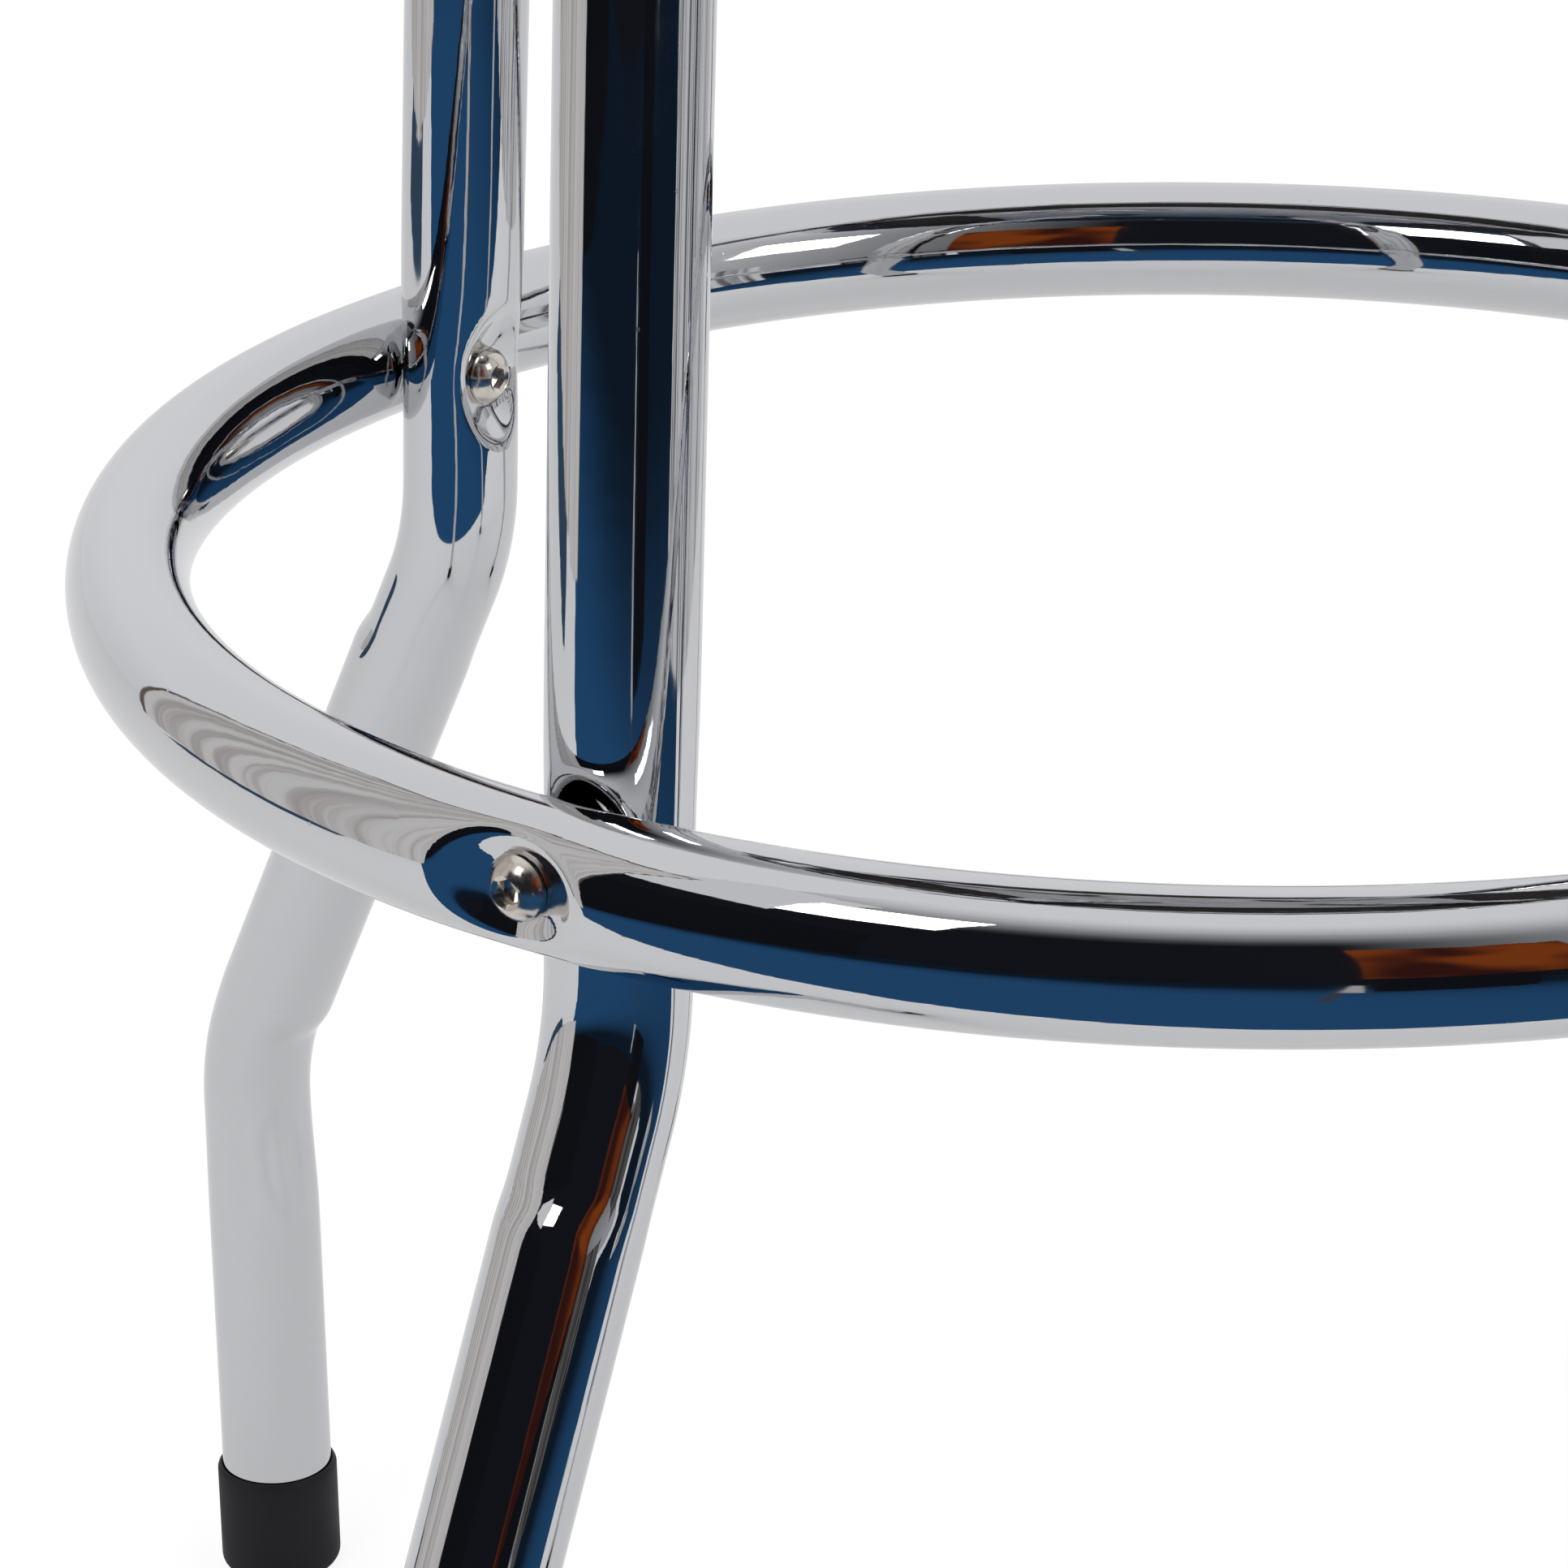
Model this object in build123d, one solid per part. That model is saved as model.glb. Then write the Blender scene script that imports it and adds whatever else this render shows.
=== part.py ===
# Backless bar stool: four bent chrome tube legs, a bolted foot ring and a swivelling round seat.
# Frame: millimetres, +Z up, origin on the floor under the middle of the seat.
import os
from math import radians, sqrt, tan

from build123d import *

# Overall sizes
seat_height = 762.0
ring_height = 306.0
ring_outer_diameter = 432.0
foot_circle_radius = 251.2
leg_angles = {"rear_right": 45.0, "rear_left": 135.0, "front_left": 225.0, "front_right": 315.0}

# Tubes: the legs are round, and rolling the ring leaves it narrower than it is tall
tube_diameter = 25.4
tube_wall = 1.2
ring_tube_width = 23.0
ring_tube_height = 25.5

# Leg line, seen in the leg's own upright plane
leg_splay = 3.5
flare_start_drop = 37.2
flare_end_height = 134.0
flare_bend_radius = 95.0
top_bend_radius = 36.0
inner_top_bolt_radius = 77.0
top_bolt_pitch = 33.0
top_run_overhang = 25.0

# Pressed dimples that take the bolt heads and the ring
punch_radius = 21.0
dimple_depth = 5.5
dimple_rim_rounding = 1.2
head_seat_margin = 0.15

# Button head bolts and their nuts
bolt_diameter = 6.0
bolt_hole_clearance = 0.3
thread_clearance = 0.03
head_diameter = 11.5
head_height = 3.3
head_edge = 0.7
socket_width = 4.0
socket_depth = 2.0
sleeve_diameter = 8.0
sleeve_floor = 1.0
sleeve_end_gap = 0.5
bolt_tip_gap = 1.0
nut_width = 10.0
nut_height = 3.2

# Rubber foot tips
tip_wall = 1.25
tip_height = 27.0
tip_floor = 5.0
tip_fit = 0.05
tip_rim_chamfer = 1.0
tip_sole_rounding = 3.0
tip_washer_play = 1.7
tip_washer_thickness = 1.5

# Plugs in the open inner ends of the legs
plug_flange = 2.0
plug_length = 8.0

# Ball bearing swivel
bolt_edge_distance = 17.0
screw_edge_distance = 13.0
plate_corner_radius = 12.0
plate_thickness = 3.0
race_depth = 1.5
race_radius = 52.0
ball_diameter = 10.0
ball_count = 24
running_clearance = 0.05
kingpin_diameter = 12.0
kingpin_head_diameter = 22.0
kingpin_head_height = 3.0
kingpin_washer_thickness = 1.0
kingpin_pocket_clearance = 2.0
screw_place = 62.0
screw_diameter = 4.4
screw_head_diameter = 8.4
screw_head_height = 2.6
screw_tip_cover = 3.0
driver_hole_diameter = 12.0

# Seat
board_radius = 174.0
board_thickness = 12.0
pad_thickness = 50.0
cover_thickness = 1.2
crown_drop = 12.0
shoulder_inset = 3.5
hem_width = 34.0
soft_gap = 0.3
welt_diameter = 6.0

# Chrome band round the seat
band_wall = 1.0
band_height = 30.0
band_bead_count = 3
band_bead_height = 2.4
band_margin = 3.0
band_lip_width = 10.0
band_screw_count = 6
band_screw_diameter = 3.0
band_screw_head_diameter = 6.0
band_screw_head_height = 1.8

# Staples that hold the cover's hem to the board
staple_count = 24
staple_width = 10.0
staple_wire = 0.9
staple_leg = 6.0
staple_edge_distance = 7.0

# Places worked out from the sizes above
tube_radius = tube_diameter / 2
bore_radius = tube_radius - tube_wall
ring_half_width = ring_tube_width / 2
ring_half_height = ring_tube_height / 2
ring_radius = ring_outer_diameter / 2 - ring_half_width
bolt_radius = bolt_diameter / 2
bolt_hole_radius = bolt_radius + bolt_hole_clearance
head_radius = head_diameter / 2
sleeve_radius = sleeve_diameter / 2
punch_flat_radius = head_radius + head_seat_margin
punch_flat_reach = sqrt(punch_radius**2 - punch_flat_radius**2)

board_top = seat_height - cover_thickness - pad_thickness
board_bottom = board_top - board_thickness
top_plate_bottom = board_bottom - plate_thickness
plate_gap = ball_diameter - 2 * race_depth
base_plate_top = top_plate_bottom - plate_gap
base_plate_bottom = base_plate_top - plate_thickness
race_height = base_plate_top + plate_gap / 2
top_run_height = base_plate_bottom - tube_radius
top_bolt_radii = (inner_top_bolt_radius, inner_top_bolt_radius + top_bolt_pitch)
top_run_end_radius = inner_top_bolt_radius - top_run_overhang
base_plate_side = sqrt(2) * (top_bolt_radii[1] + bolt_edge_distance)
top_plate_side = 2 * (screw_place + screw_edge_distance)
side_radius = board_radius + cover_thickness
hem_bottom = board_bottom - cover_thickness
band_bottom = hem_bottom - soft_gap - band_wall
band_top = band_bottom + band_height
band_inner_radius = side_radius + soft_gap
waist_height = band_top + welt_diameter + 2 * soft_gap
screw_bite = board_thickness - screw_tip_cover
tube_end_height = tip_floor + tip_washer_thickness


def dimple_half_width(radius, depth):
    """Half the width of a dimple's rim across a round tube, and the rim's reach from the tube's middle."""
    centre = radius - depth + punch_flat_reach
    rim = (centre**2 + radius**2 - punch_radius**2) / (2 * centre)
    return sqrt(radius**2 - rim**2), rim


# The ring bears on both sides of the leg's dimple rim
rim_half_width, rim_reach = dimple_half_width(tube_radius, dimple_depth)
ring_inner_radius = ring_radius - ring_half_width
leg_radius = sqrt(ring_inner_radius**2 - rim_half_width**2) - rim_reach


def leg_line_radius(height):
    """Distance of the leg's upper straight stretch from the stool's axis at a height."""
    return leg_radius + (ring_height - height) * tan(radians(leg_splay))


def write(shape, node):
    export_step(shape, os.path.join("parts", node + ".step"))


def group(shapes):
    return Compound(children=list(shapes))


def around(shape, count, start=0.0):
    """Copies of a shape evenly spaced round the stool's axis."""
    return [Rot(0, 0, start + 360 / count * i) * shape for i in range(count)]


def punch(face_distance, grow=0.0):
    """Flat nosed round punch on the +X axis. Its nose stops face_distance from the origin."""
    ball = Pos(face_distance + punch_flat_reach, 0, 0) * Sphere(punch_radius + grow)
    reach = 2 * (punch_radius + grow)
    return ball & Pos(face_distance - grow + reach / 2, 0, 0) * Box(reach, 2 * reach, 2 * reach)


def standing(radius, height):
    """Round bar that stands on the origin."""
    return Cylinder(radius, height, align=(Align.CENTER, Align.CENTER, Align.MIN))


def hanging(radius, height):
    """Round bar that hangs under the origin."""
    return Cylinder(radius, height, align=(Align.CENTER, Align.CENTER, Align.MAX))


def lying(radius, low, high):
    """Round bar along the X axis from low to high."""
    return Pos(low, 0, 0) * Rot(0, 90, 0) * standing(radius, high - low)


def rim_edges(shape, place, reach):
    """Edges of the dimple rims within reach of a point: the edges of the punched bowls, less their flats."""
    bowls = [f for f in shape.faces() if f.geom_type == GeomType.SPHERE]
    near = [f for f in bowls if (f.center() - place).length < reach]
    return [e for f in near for e in f.edges() if e.geom_type != GeomType.CIRCLE]


def leg_path():
    """Centre line of a leg in the XZ plane, from the floor end to the inner end under the seat."""
    flare_start_height = ring_height - flare_start_drop
    corners = [
        (foot_circle_radius, 0, tube_end_height),
        (foot_circle_radius, 0, flare_end_height),
        (leg_line_radius(flare_start_height), 0, flare_start_height),
        (leg_line_radius(top_run_height), 0, top_run_height),
        (top_run_end_radius, 0, top_run_height),
    ]
    return FilletPolyline(*corners, radius=[flare_bend_radius, flare_bend_radius, top_bend_radius])


def swept_round(path, radius):
    return sweep(Plane(origin=path @ 0, z_dir=path % 0) * Circle(radius), path=path)


def leg_dimples(grow=0.0):
    """Punches for one leg: ring side, inner side, and the two bolt seats under the top run."""
    floor = tube_radius - dimple_depth
    at_ring = Pos(leg_radius, 0, ring_height)
    tools = [at_ring * punch(floor, grow), at_ring * Rot(0, 0, 180) * punch(floor, grow)]
    for radius in top_bolt_radii:
        tools.append(Pos(radius, 0, top_run_height) * Rot(0, 90, 0) * punch(floor, grow))
    return tools


def make_leg():
    """Bent tube along +X with its dimples and bolt holes."""
    path = leg_path()
    outside = swept_round(path, tube_radius)
    for tool in leg_dimples():
        outside = outside - tool
    at_ring = Vector(leg_radius, 0, ring_height)
    outside = fillet(rim_edges(outside, at_ring, tube_diameter), dimple_rim_rounding)
    inside = swept_round(path, bore_radius)
    for tool in leg_dimples(tube_wall):
        inside = inside - tool
    leg = outside - inside
    sleeve_hole = lying(sleeve_radius + bolt_hole_clearance, -tube_diameter, tube_diameter)
    leg = leg - Pos(leg_radius, 0, ring_height) * sleeve_hole
    for radius in top_bolt_radii:
        leg = leg - Pos(radius, 0, top_run_height) * Cylinder(bolt_hole_radius, 2 * tube_diameter)
    return leg


def make_ring():
    """Rolled tube ring with a bolt dimple in its outer side at every leg."""
    section = Plane.XZ * Pos(ring_radius, ring_height)
    outside = revolve(section * Ellipse(ring_half_width, ring_half_height), Axis.Z)
    inside = revolve(section * Ellipse(ring_half_width - tube_wall, ring_half_height - tube_wall), Axis.Z)
    dimple_floor = ring_radius + ring_half_width - dimple_depth
    for angle in leg_angles.values():
        turned = Rot(0, 0, angle) * Pos(0, 0, ring_height)
        outside = outside - turned * punch(dimple_floor)
        inside = inside - turned * punch(dimple_floor, tube_wall)
    middle = Vector(0, 0, ring_height)
    outside = fillet(rim_edges(outside, middle, ring_outer_diameter), dimple_rim_rounding)
    hole = Pos(0, 0, ring_height) * lying(bolt_hole_radius, leg_radius, ring_radius + ring_tube_width)
    return outside - inside - [Rot(0, 0, angle) * hole for angle in leg_angles.values()]


def button_head():
    """Domed socket head. Its flat underside is at the origin and its dome points along +Z."""
    dome_rise = head_height - head_edge
    dome_radius = (head_radius**2 + dome_rise**2) / (2 * dome_rise)
    blank = standing(head_radius, head_height)
    dome = Pos(0, 0, head_height - dome_radius) * Sphere(dome_radius)
    socket = extrude(RegularPolygon(socket_width / 2, 6, major_radius=False), socket_depth)
    return (blank & dome) - Pos(0, 0, head_height - socket_depth) * socket


def make_ring_fasteners(angle):
    """Bolt through the ring and the sleeve nut that meets it from the leg's inner side."""
    bolt_seat = ring_radius + ring_half_width - dimple_depth
    nut_seat = leg_radius - tube_radius + dimple_depth
    sleeve_length = ring_inner_radius - sleeve_end_gap - nut_seat
    bolt = button_head() + hanging(bolt_radius, bolt_seat - nut_seat - sleeve_floor - bolt_tip_gap)
    nut = button_head() + hanging(sleeve_radius, sleeve_length)
    nut = nut - Pos(0, 0, -sleeve_floor) * hanging(bolt_radius + thread_clearance, sleeve_length)
    bolt = Pos(bolt_seat, 0, ring_height) * Rot(0, 90, 0) * bolt
    nut = Pos(nut_seat, 0, ring_height) * Rot(0, -90, 0) * nut
    return Rot(0, 0, angle) * bolt, Rot(0, 0, angle) * nut


def make_top_fasteners(angle, radius):
    """Bolt up through a leg's top run and the thin nut on the swivel's base plate."""
    seat = top_run_height - tube_radius + dimple_depth
    bolt = button_head() + hanging(bolt_radius, base_plate_top + nut_height - seat)
    nut = extrude(RegularPolygon(nut_width / 2, 6, major_radius=False), nut_height)
    nut = nut - Cylinder(bolt_radius + thread_clearance, 4 * nut_height)
    turned = Rot(0, 0, angle) * Pos(radius, 0, 0)
    return turned * Pos(0, 0, seat) * Rot(180, 0, 0) * bolt, turned * Pos(0, 0, base_plate_top) * nut


def make_tip():
    """Push-on rubber cup for the leg at +X."""
    outer_radius = tube_radius + tip_wall
    cup = standing(outer_radius, tip_height)
    cup = fillet(cup.edges().group_by(Axis.Z)[0], tip_sole_rounding)
    cup = chamfer(cup.edges().group_by(Axis.Z)[-1], tip_rim_chamfer)
    cup = cup - Pos(0, 0, tip_floor) * standing(tube_radius + tip_fit, tip_height)
    return Pos(foot_circle_radius, 0, 0) * cup


def make_tip_washer():
    disc = standing(tube_radius - tip_washer_play, tip_washer_thickness)
    return Pos(foot_circle_radius, 0, tip_floor) * disc


def make_plug():
    """Plastic plug for the inner end of the top run at +X."""
    flange = lying(tube_radius, -plug_flange, 0)
    stub = lying(bore_radius - tip_fit, 0, plug_length)
    return Pos(top_run_end_radius, 0, top_run_height) * (flange + stub)


def square_plate(side):
    return extrude(RectangleRounded(side, side, plate_corner_radius), plate_thickness)


def race_cutter():
    return Pos(0, 0, race_height) * Torus(race_radius, ball_diameter / 2 + running_clearance)


def screw_places():
    return [(x, y) for x in (-screw_place, screw_place) for y in (-screw_place, screw_place)]


def make_base_plate():
    """Fixed plate of the swivel, bolted down on the four top runs."""
    plate = square_plate(base_plate_side) - standing(kingpin_diameter / 2, plate_thickness)
    bolt_hole = standing(bolt_hole_radius, plate_thickness)
    for angle in leg_angles.values():
        plate = plate - [Rot(0, 0, angle) * Pos(radius, 0, 0) * bolt_hole for radius in top_bolt_radii]
    driver_hole = standing(driver_hole_diameter / 2, plate_thickness)
    plate = plate - [Pos(x, y, 0) * driver_hole for x, y in screw_places()]
    return Pos(0, 0, base_plate_bottom) * plate - race_cutter()


def make_top_plate():
    """Turning plate of the swivel, screwed to the seat board."""
    plate = square_plate(top_plate_side)
    plate = plate - standing(kingpin_diameter / 2 + running_clearance, plate_thickness)
    screw_hole = standing(screw_diameter / 2 + bolt_hole_clearance, plate_thickness)
    plate = plate - [Pos(x, y, 0) * screw_hole for x, y in screw_places()]
    return Pos(0, 0, top_plate_bottom) * plate - race_cutter()


def make_kingpin():
    """Rivet that keeps the two plates together, with its washer under the upper head."""
    head = kingpin_head_diameter / 2
    pin = kingpin_diameter / 2
    washer_bottom = board_bottom + running_clearance
    washer_top = washer_bottom + kingpin_washer_thickness
    low_head = Pos(0, 0, base_plate_bottom) * hanging(head, kingpin_head_height)
    stem = Pos(0, 0, base_plate_bottom) * standing(pin, washer_top - base_plate_bottom)
    high_head = Pos(0, 0, washer_top) * standing(head, kingpin_head_height)
    washer = standing(head, kingpin_washer_thickness) - standing(pin, kingpin_washer_thickness)
    return low_head + stem + high_head, Pos(0, 0, washer_bottom) * washer


def make_balls():
    ball = Pos(race_radius, 0, race_height) * Sphere(ball_diameter / 2)
    return around(ball, ball_count)


def make_swivel_screws():
    head = hanging(screw_head_diameter / 2, screw_head_height)
    stem = standing(screw_diameter / 2, plate_thickness + screw_bite)
    return [Pos(x, y, top_plate_bottom) * (head + stem) for x, y in screw_places()]


def make_band_screws():
    head = hanging(band_screw_head_diameter / 2, band_screw_head_height)
    stem = standing(band_screw_diameter / 2, board_bottom - band_bottom + screw_bite)
    screw = Pos(board_radius - band_lip_width / 2, 0, band_bottom) * (head + stem)
    return around(screw, band_screw_count, 180 / band_screw_count)


def make_staples():
    """Wire staples driven up through the hem into the board."""
    crown = Box(staple_wire, staple_width, staple_wire, align=(Align.CENTER, Align.CENTER, Align.MAX))
    prong = Box(staple_wire, staple_wire, staple_leg, align=(Align.CENTER, Align.CENTER, Align.MIN))
    half = (staple_width - staple_wire) / 2
    staple = crown + Pos(0, half, 0) * prong + Pos(0, -half, 0) * prong
    place = Pos(board_radius - hem_width + staple_edge_distance, 0, hem_bottom)
    return around(place * staple, staple_count)


def make_board(screws):
    """Plywood disc with a pocket for the kingpin's head and pilot holes for the screws."""
    pocket_radius = kingpin_head_diameter / 2 + kingpin_pocket_clearance
    board = standing(board_radius, board_thickness) - standing(pocket_radius, board_thickness)
    board = Pos(0, 0, board_bottom) * board
    for screw in screws:
        board = board - screw
    return board


def cushion_form(inset, bottom):
    """Solid of revolution with the cushion's crown, rolled edge and drawn-in waist, inset by a skin."""
    crown = seat_height - inset
    waist = Vector(side_radius - inset, 0, waist_height)
    shoulder = Vector(side_radius - shoulder_inset, 0, crown - crown_drop)
    dome_radius = (shoulder.X**2 + crown_drop**2) / (2 * crown_drop)
    dome_sag = dome_radius - sqrt(dome_radius**2 - shoulder.X**2 / 4)
    dome_middle = Vector(shoulder.X / 2, 0, crown - dome_sag)
    dome_slope = (dome_radius - crown_drop, 0, -shoulder.X)
    outline = Polyline((0, 0, crown), (0, 0, bottom), (waist.X, 0, bottom), waist)
    outline += TangentArc(shoulder, waist, tangent=dome_slope)
    outline += ThreePointArc(shoulder, dome_middle, Vector(0, 0, crown))
    return revolve(make_face(outline.edges()), Axis.Z)


def make_foam():
    return cushion_form(cover_thickness, board_top)


def make_cover(fixings):
    """Sewn cover: a thin skin over the foam and the board's edge with a hem under the board."""
    skin = cushion_form(0, hem_bottom) - cushion_form(cover_thickness, board_bottom)
    skin = skin - Pos(0, 0, hem_bottom) * Cylinder(board_radius - hem_width, 4 * cover_thickness)
    for fixing in fixings:
        skin = skin - fixing
    return skin


def make_welt():
    """Piping that closes the gap between the band and the cushion."""
    radius = welt_diameter / 2
    return Pos(0, 0, band_top + soft_gap + radius) * Torus(side_radius + soft_gap + radius, radius)


def band_form(skin):
    """Solid inside the band's beaded outline, drawn in by a skin."""
    edge = band_inner_radius + band_wall - skin
    pitch = (band_height - 2 * band_margin) / band_bead_count
    low = band_bottom + skin
    first = band_bottom + band_margin
    last = first + pitch * band_bead_count
    corners = [(edge, first), (edge, low), (0, low), (0, band_top), (edge, band_top), (edge, last)]
    outline = Polyline(*[(radius, 0, height) for radius, height in corners])
    for i in range(band_bead_count):
        start = first + pitch * i
        crest = (edge + band_bead_height, 0, start + pitch / 2)
        outline += ThreePointArc((edge, 0, start), crest, (edge, 0, start + pitch))
    return revolve(make_face(outline.edges()), Axis.Z)


def make_band(screws):
    """Roll-formed chrome band with beads and a lip that is screwed up under the board."""
    band = band_form(0) - band_form(band_wall)
    band = band - Pos(0, 0, band_bottom) * Cylinder(board_radius - band_lip_width, 4 * band_wall)
    for screw in screws:
        band = band - screw
    return band


def build():
    os.makedirs("parts", exist_ok=True)
    leg, tip, washer, plug = make_leg(), make_tip(), make_tip_washer(), make_plug()
    for side, angle in leg_angles.items():
        write(Rot(0, 0, angle) * leg, side + "_leg")
        write(Rot(0, 0, angle) * tip, side + "_foot_tip")
    angles = list(leg_angles.values())
    write(group(Rot(0, 0, a) * washer for a in angles), "foot_tip_washers")
    write(group(Rot(0, 0, a) * plug for a in angles), "leg_end_plugs")

    write(make_ring(), "foot_ring")
    ring_pairs = [make_ring_fasteners(a) for a in angles]
    write(group(bolt for bolt, _ in ring_pairs), "ring_bolts")
    write(group(nut for _, nut in ring_pairs), "ring_sleeve_nuts")
    top_pairs = [make_top_fasteners(a, r) for a in angles for r in top_bolt_radii]
    write(group(bolt for bolt, _ in top_pairs), "leg_bolts")
    write(group(nut for _, nut in top_pairs), "leg_nuts")

    kingpin, kingpin_washer = make_kingpin()
    write(make_base_plate(), "swivel_base_plate")
    write(kingpin, "swivel_kingpin")
    write(kingpin_washer, "swivel_kingpin_washer")
    write(group(make_balls()), "swivel_balls")
    write(make_top_plate(), "swivel_top_plate")

    swivel_screws, band_screws, staples = make_swivel_screws(), make_band_screws(), make_staples()
    write(group(swivel_screws), "swivel_screws")
    write(group(band_screws), "band_screws")
    write(group(staples), "cover_staples")
    write(make_board(swivel_screws + band_screws + staples), "seat_board")
    write(make_foam(), "seat_foam")
    write(make_cover(band_screws + staples), "seat_cover")
    write(make_welt(), "seat_welt")
    write(make_band(band_screws), "seat_band")


build()
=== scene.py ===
import random
from math import asin, atan2, cos, exp, hypot, pi, radians, sin, sqrt, tan

import bmesh
import bpy
from mathutils import Matrix, Vector
from mathutils.bvhtree import BVHTree


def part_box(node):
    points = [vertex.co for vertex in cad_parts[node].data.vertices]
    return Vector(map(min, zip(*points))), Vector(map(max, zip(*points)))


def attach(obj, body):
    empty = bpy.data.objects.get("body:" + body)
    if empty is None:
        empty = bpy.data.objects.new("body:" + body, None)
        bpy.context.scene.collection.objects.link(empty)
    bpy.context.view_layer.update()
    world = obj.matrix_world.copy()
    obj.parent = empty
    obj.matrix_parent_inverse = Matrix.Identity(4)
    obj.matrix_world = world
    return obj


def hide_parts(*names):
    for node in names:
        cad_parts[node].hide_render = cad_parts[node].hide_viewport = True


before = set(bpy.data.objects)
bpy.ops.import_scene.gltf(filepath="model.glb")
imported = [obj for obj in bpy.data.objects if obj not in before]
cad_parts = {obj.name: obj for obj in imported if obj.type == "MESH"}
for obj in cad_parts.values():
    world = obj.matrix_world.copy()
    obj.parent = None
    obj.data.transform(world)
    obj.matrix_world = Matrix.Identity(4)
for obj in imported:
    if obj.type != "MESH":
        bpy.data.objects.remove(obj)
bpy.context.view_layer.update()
scene = bpy.context.scene
print("frame loaded:", len(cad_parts), "nodes")

# places read from the frame
ringLow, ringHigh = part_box("foot_ring")
ringHeight = (ringLow[2] + ringHigh[2]) / 2
ringOuter = (ringHigh[0] - ringLow[0]) / 2
legLow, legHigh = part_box("rear_right_leg")
tipLow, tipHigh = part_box("rear_right_foot_tip")
footReach = hypot((tipLow[0] + tipHigh[0]) / 2, (tipLow[1] + tipHigh[1]) / 2)
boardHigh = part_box("seat_board")[1]
bandLow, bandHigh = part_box("seat_band")
coverLow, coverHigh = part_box("seat_cover")
weltLow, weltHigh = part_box("seat_welt")
legTurns = {"rear_right": 45, "rear_left": 135, "front_left": 225, "front_right": 315}
mergeGap = 1e-6  # points closer than this are one


def turned(degrees):  # carries a piece from +X round to another side
    return Matrix.Rotation(radians(degrees), 4, "Z")


def sideName(side):  # rear_right becomes rearRight
    first, second = side.split("_")
    return first + second.title()


# small tools for every piece
def vertsOf(geom):
    return [g for g in geom if isinstance(g, bmesh.types.BMVert)]


def edgesOf(geom):
    return [g for g in geom if isinstance(g, bmesh.types.BMEdge)]


def openRim(bm):
    return [e for e in bm.edges if e.is_boundary]


def openVerts(bm):
    return list({v for e in openRim(bm) for v in e.verts})


def growRim(bm, rim):  # extrude an open rim and give back the new one
    geom = bmesh.ops.extrude_edge_only(bm, edges=rim)["geom"]
    fresh = set(vertsOf(geom))
    return fresh, [e for e in edgesOf(geom) if e.verts[0] in fresh and e.verts[1] in fresh]


def roundRim(bm, rim, radius, height):  # extrude a rim to a circle at a height
    fresh, rim = growRim(bm, rim)
    for v in fresh:
        flat = Vector((v.co.x, v.co.y)).normalized() * radius
        v.co = (flat.x, flat.y, height)
    return rim


def closeSpin(bm, geom, steps):  # a full turn round Z, joined where it meets itself
    bmesh.ops.spin(bm, geom=geom, axis=(0, 0, 1), angle=2 * pi, steps=steps, use_merge=True)
    bmesh.ops.remove_doubles(bm, verts=bm.verts, dist=mergeGap)
    bmesh.ops.recalc_face_normals(bm, faces=bm.faces)


def spinLine(bm, points, steps):  # a line of (radius, height) points spun round Z
    verts = [bm.verts.new((r, 0, z)) for r, z in points]
    edges = [bm.edges.new(pair) for pair in zip(verts, verts[1:])]
    closeSpin(bm, verts + edges, steps)


def addCopies(bm, places):  # copies of everything in a mesh at each place, the first one moved there
    parts = bm.verts[:] + bm.edges[:] + bm.faces[:]
    for place in places[1:]:
        copy = bmesh.ops.duplicate(bm, geom=parts)["geom"]
        bmesh.ops.transform(bm, matrix=place, verts=vertsOf(copy))
    bmesh.ops.transform(bm, matrix=places[0], verts=vertsOf(parts))


def linkObject(name, data):
    piece = bpy.data.objects.new(name, data)
    scene.collection.objects.link(piece)
    return piece


def linkMesh(name, bm, *materials):
    mesh = bpy.data.meshes.new(name)
    bm.to_mesh(mesh)
    bm.free()
    for material in materials:
        mesh.materials.append(material)
    return linkObject(name, mesh)


def finishPiece(name, bm, material, body, nodes, crease=None):
    piece = linkMesh(name, bm, material)
    piece.data.shade_smooth()
    if crease:
        piece.data.set_sharp_from_angle(angle=radians(crease))
    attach(piece, body)
    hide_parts(*nodes)
    return piece


def softMin(a, b, width):  # the lower of two heights with a rounded meeting
    blend = max(width - abs(a - b), 0.0) / width
    return min(a, b) - blend * blend * width / 4


def easedStep(t):
    t = min(max(t, 0.0), 1.0)
    return t * t * (3 - 2 * t)


# node tools
def addNode(tree, kind, **values):
    node = tree.nodes.new("ShaderNode" + kind)
    for key, value in values.items():
        if hasattr(node, key):
            setattr(node, key, value)
    for key, value in values.items():
        if not hasattr(node, key):
            node.inputs[key.replace("_", " ")].default_value = value
    return node


def joinTo(tree, source, target):
    tree.links.new(source, target)


def mathOf(tree, operation, a, b=0.0):
    node = addNode(tree, "Math", operation=operation)
    for socket, value in zip(node.inputs, (a, b)):
        if isinstance(value, (int, float)):
            socket.default_value = value
        else:
            joinTo(tree, value, socket)
    return node.outputs[0]


def rampOf(tree, value, low, high, start=0.0, end=1.0, kind="SMOOTHSTEP"):
    node = addNode(tree, "MapRange", interpolation_type=kind)
    joinTo(tree, value, node.inputs["Value"])
    for name, number in (("From Min", low), ("From Max", high), ("To Min", start), ("To Max", end)):
        node.inputs[name].default_value = number
    return node.outputs["Result"]


def mixOf(tree, share, first, second):
    node = addNode(tree, "Mix", data_type="RGBA")
    sockets = (node.inputs["Factor"], node.inputs[6], node.inputs[7])  # 6 and 7 are the two colours
    for socket, value in zip(sockets, (share, first, second)):
        if isinstance(value, (int, float, tuple)):
            socket.default_value = value
        else:
            joinTo(tree, value, socket)
    return node.outputs[2]


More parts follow.
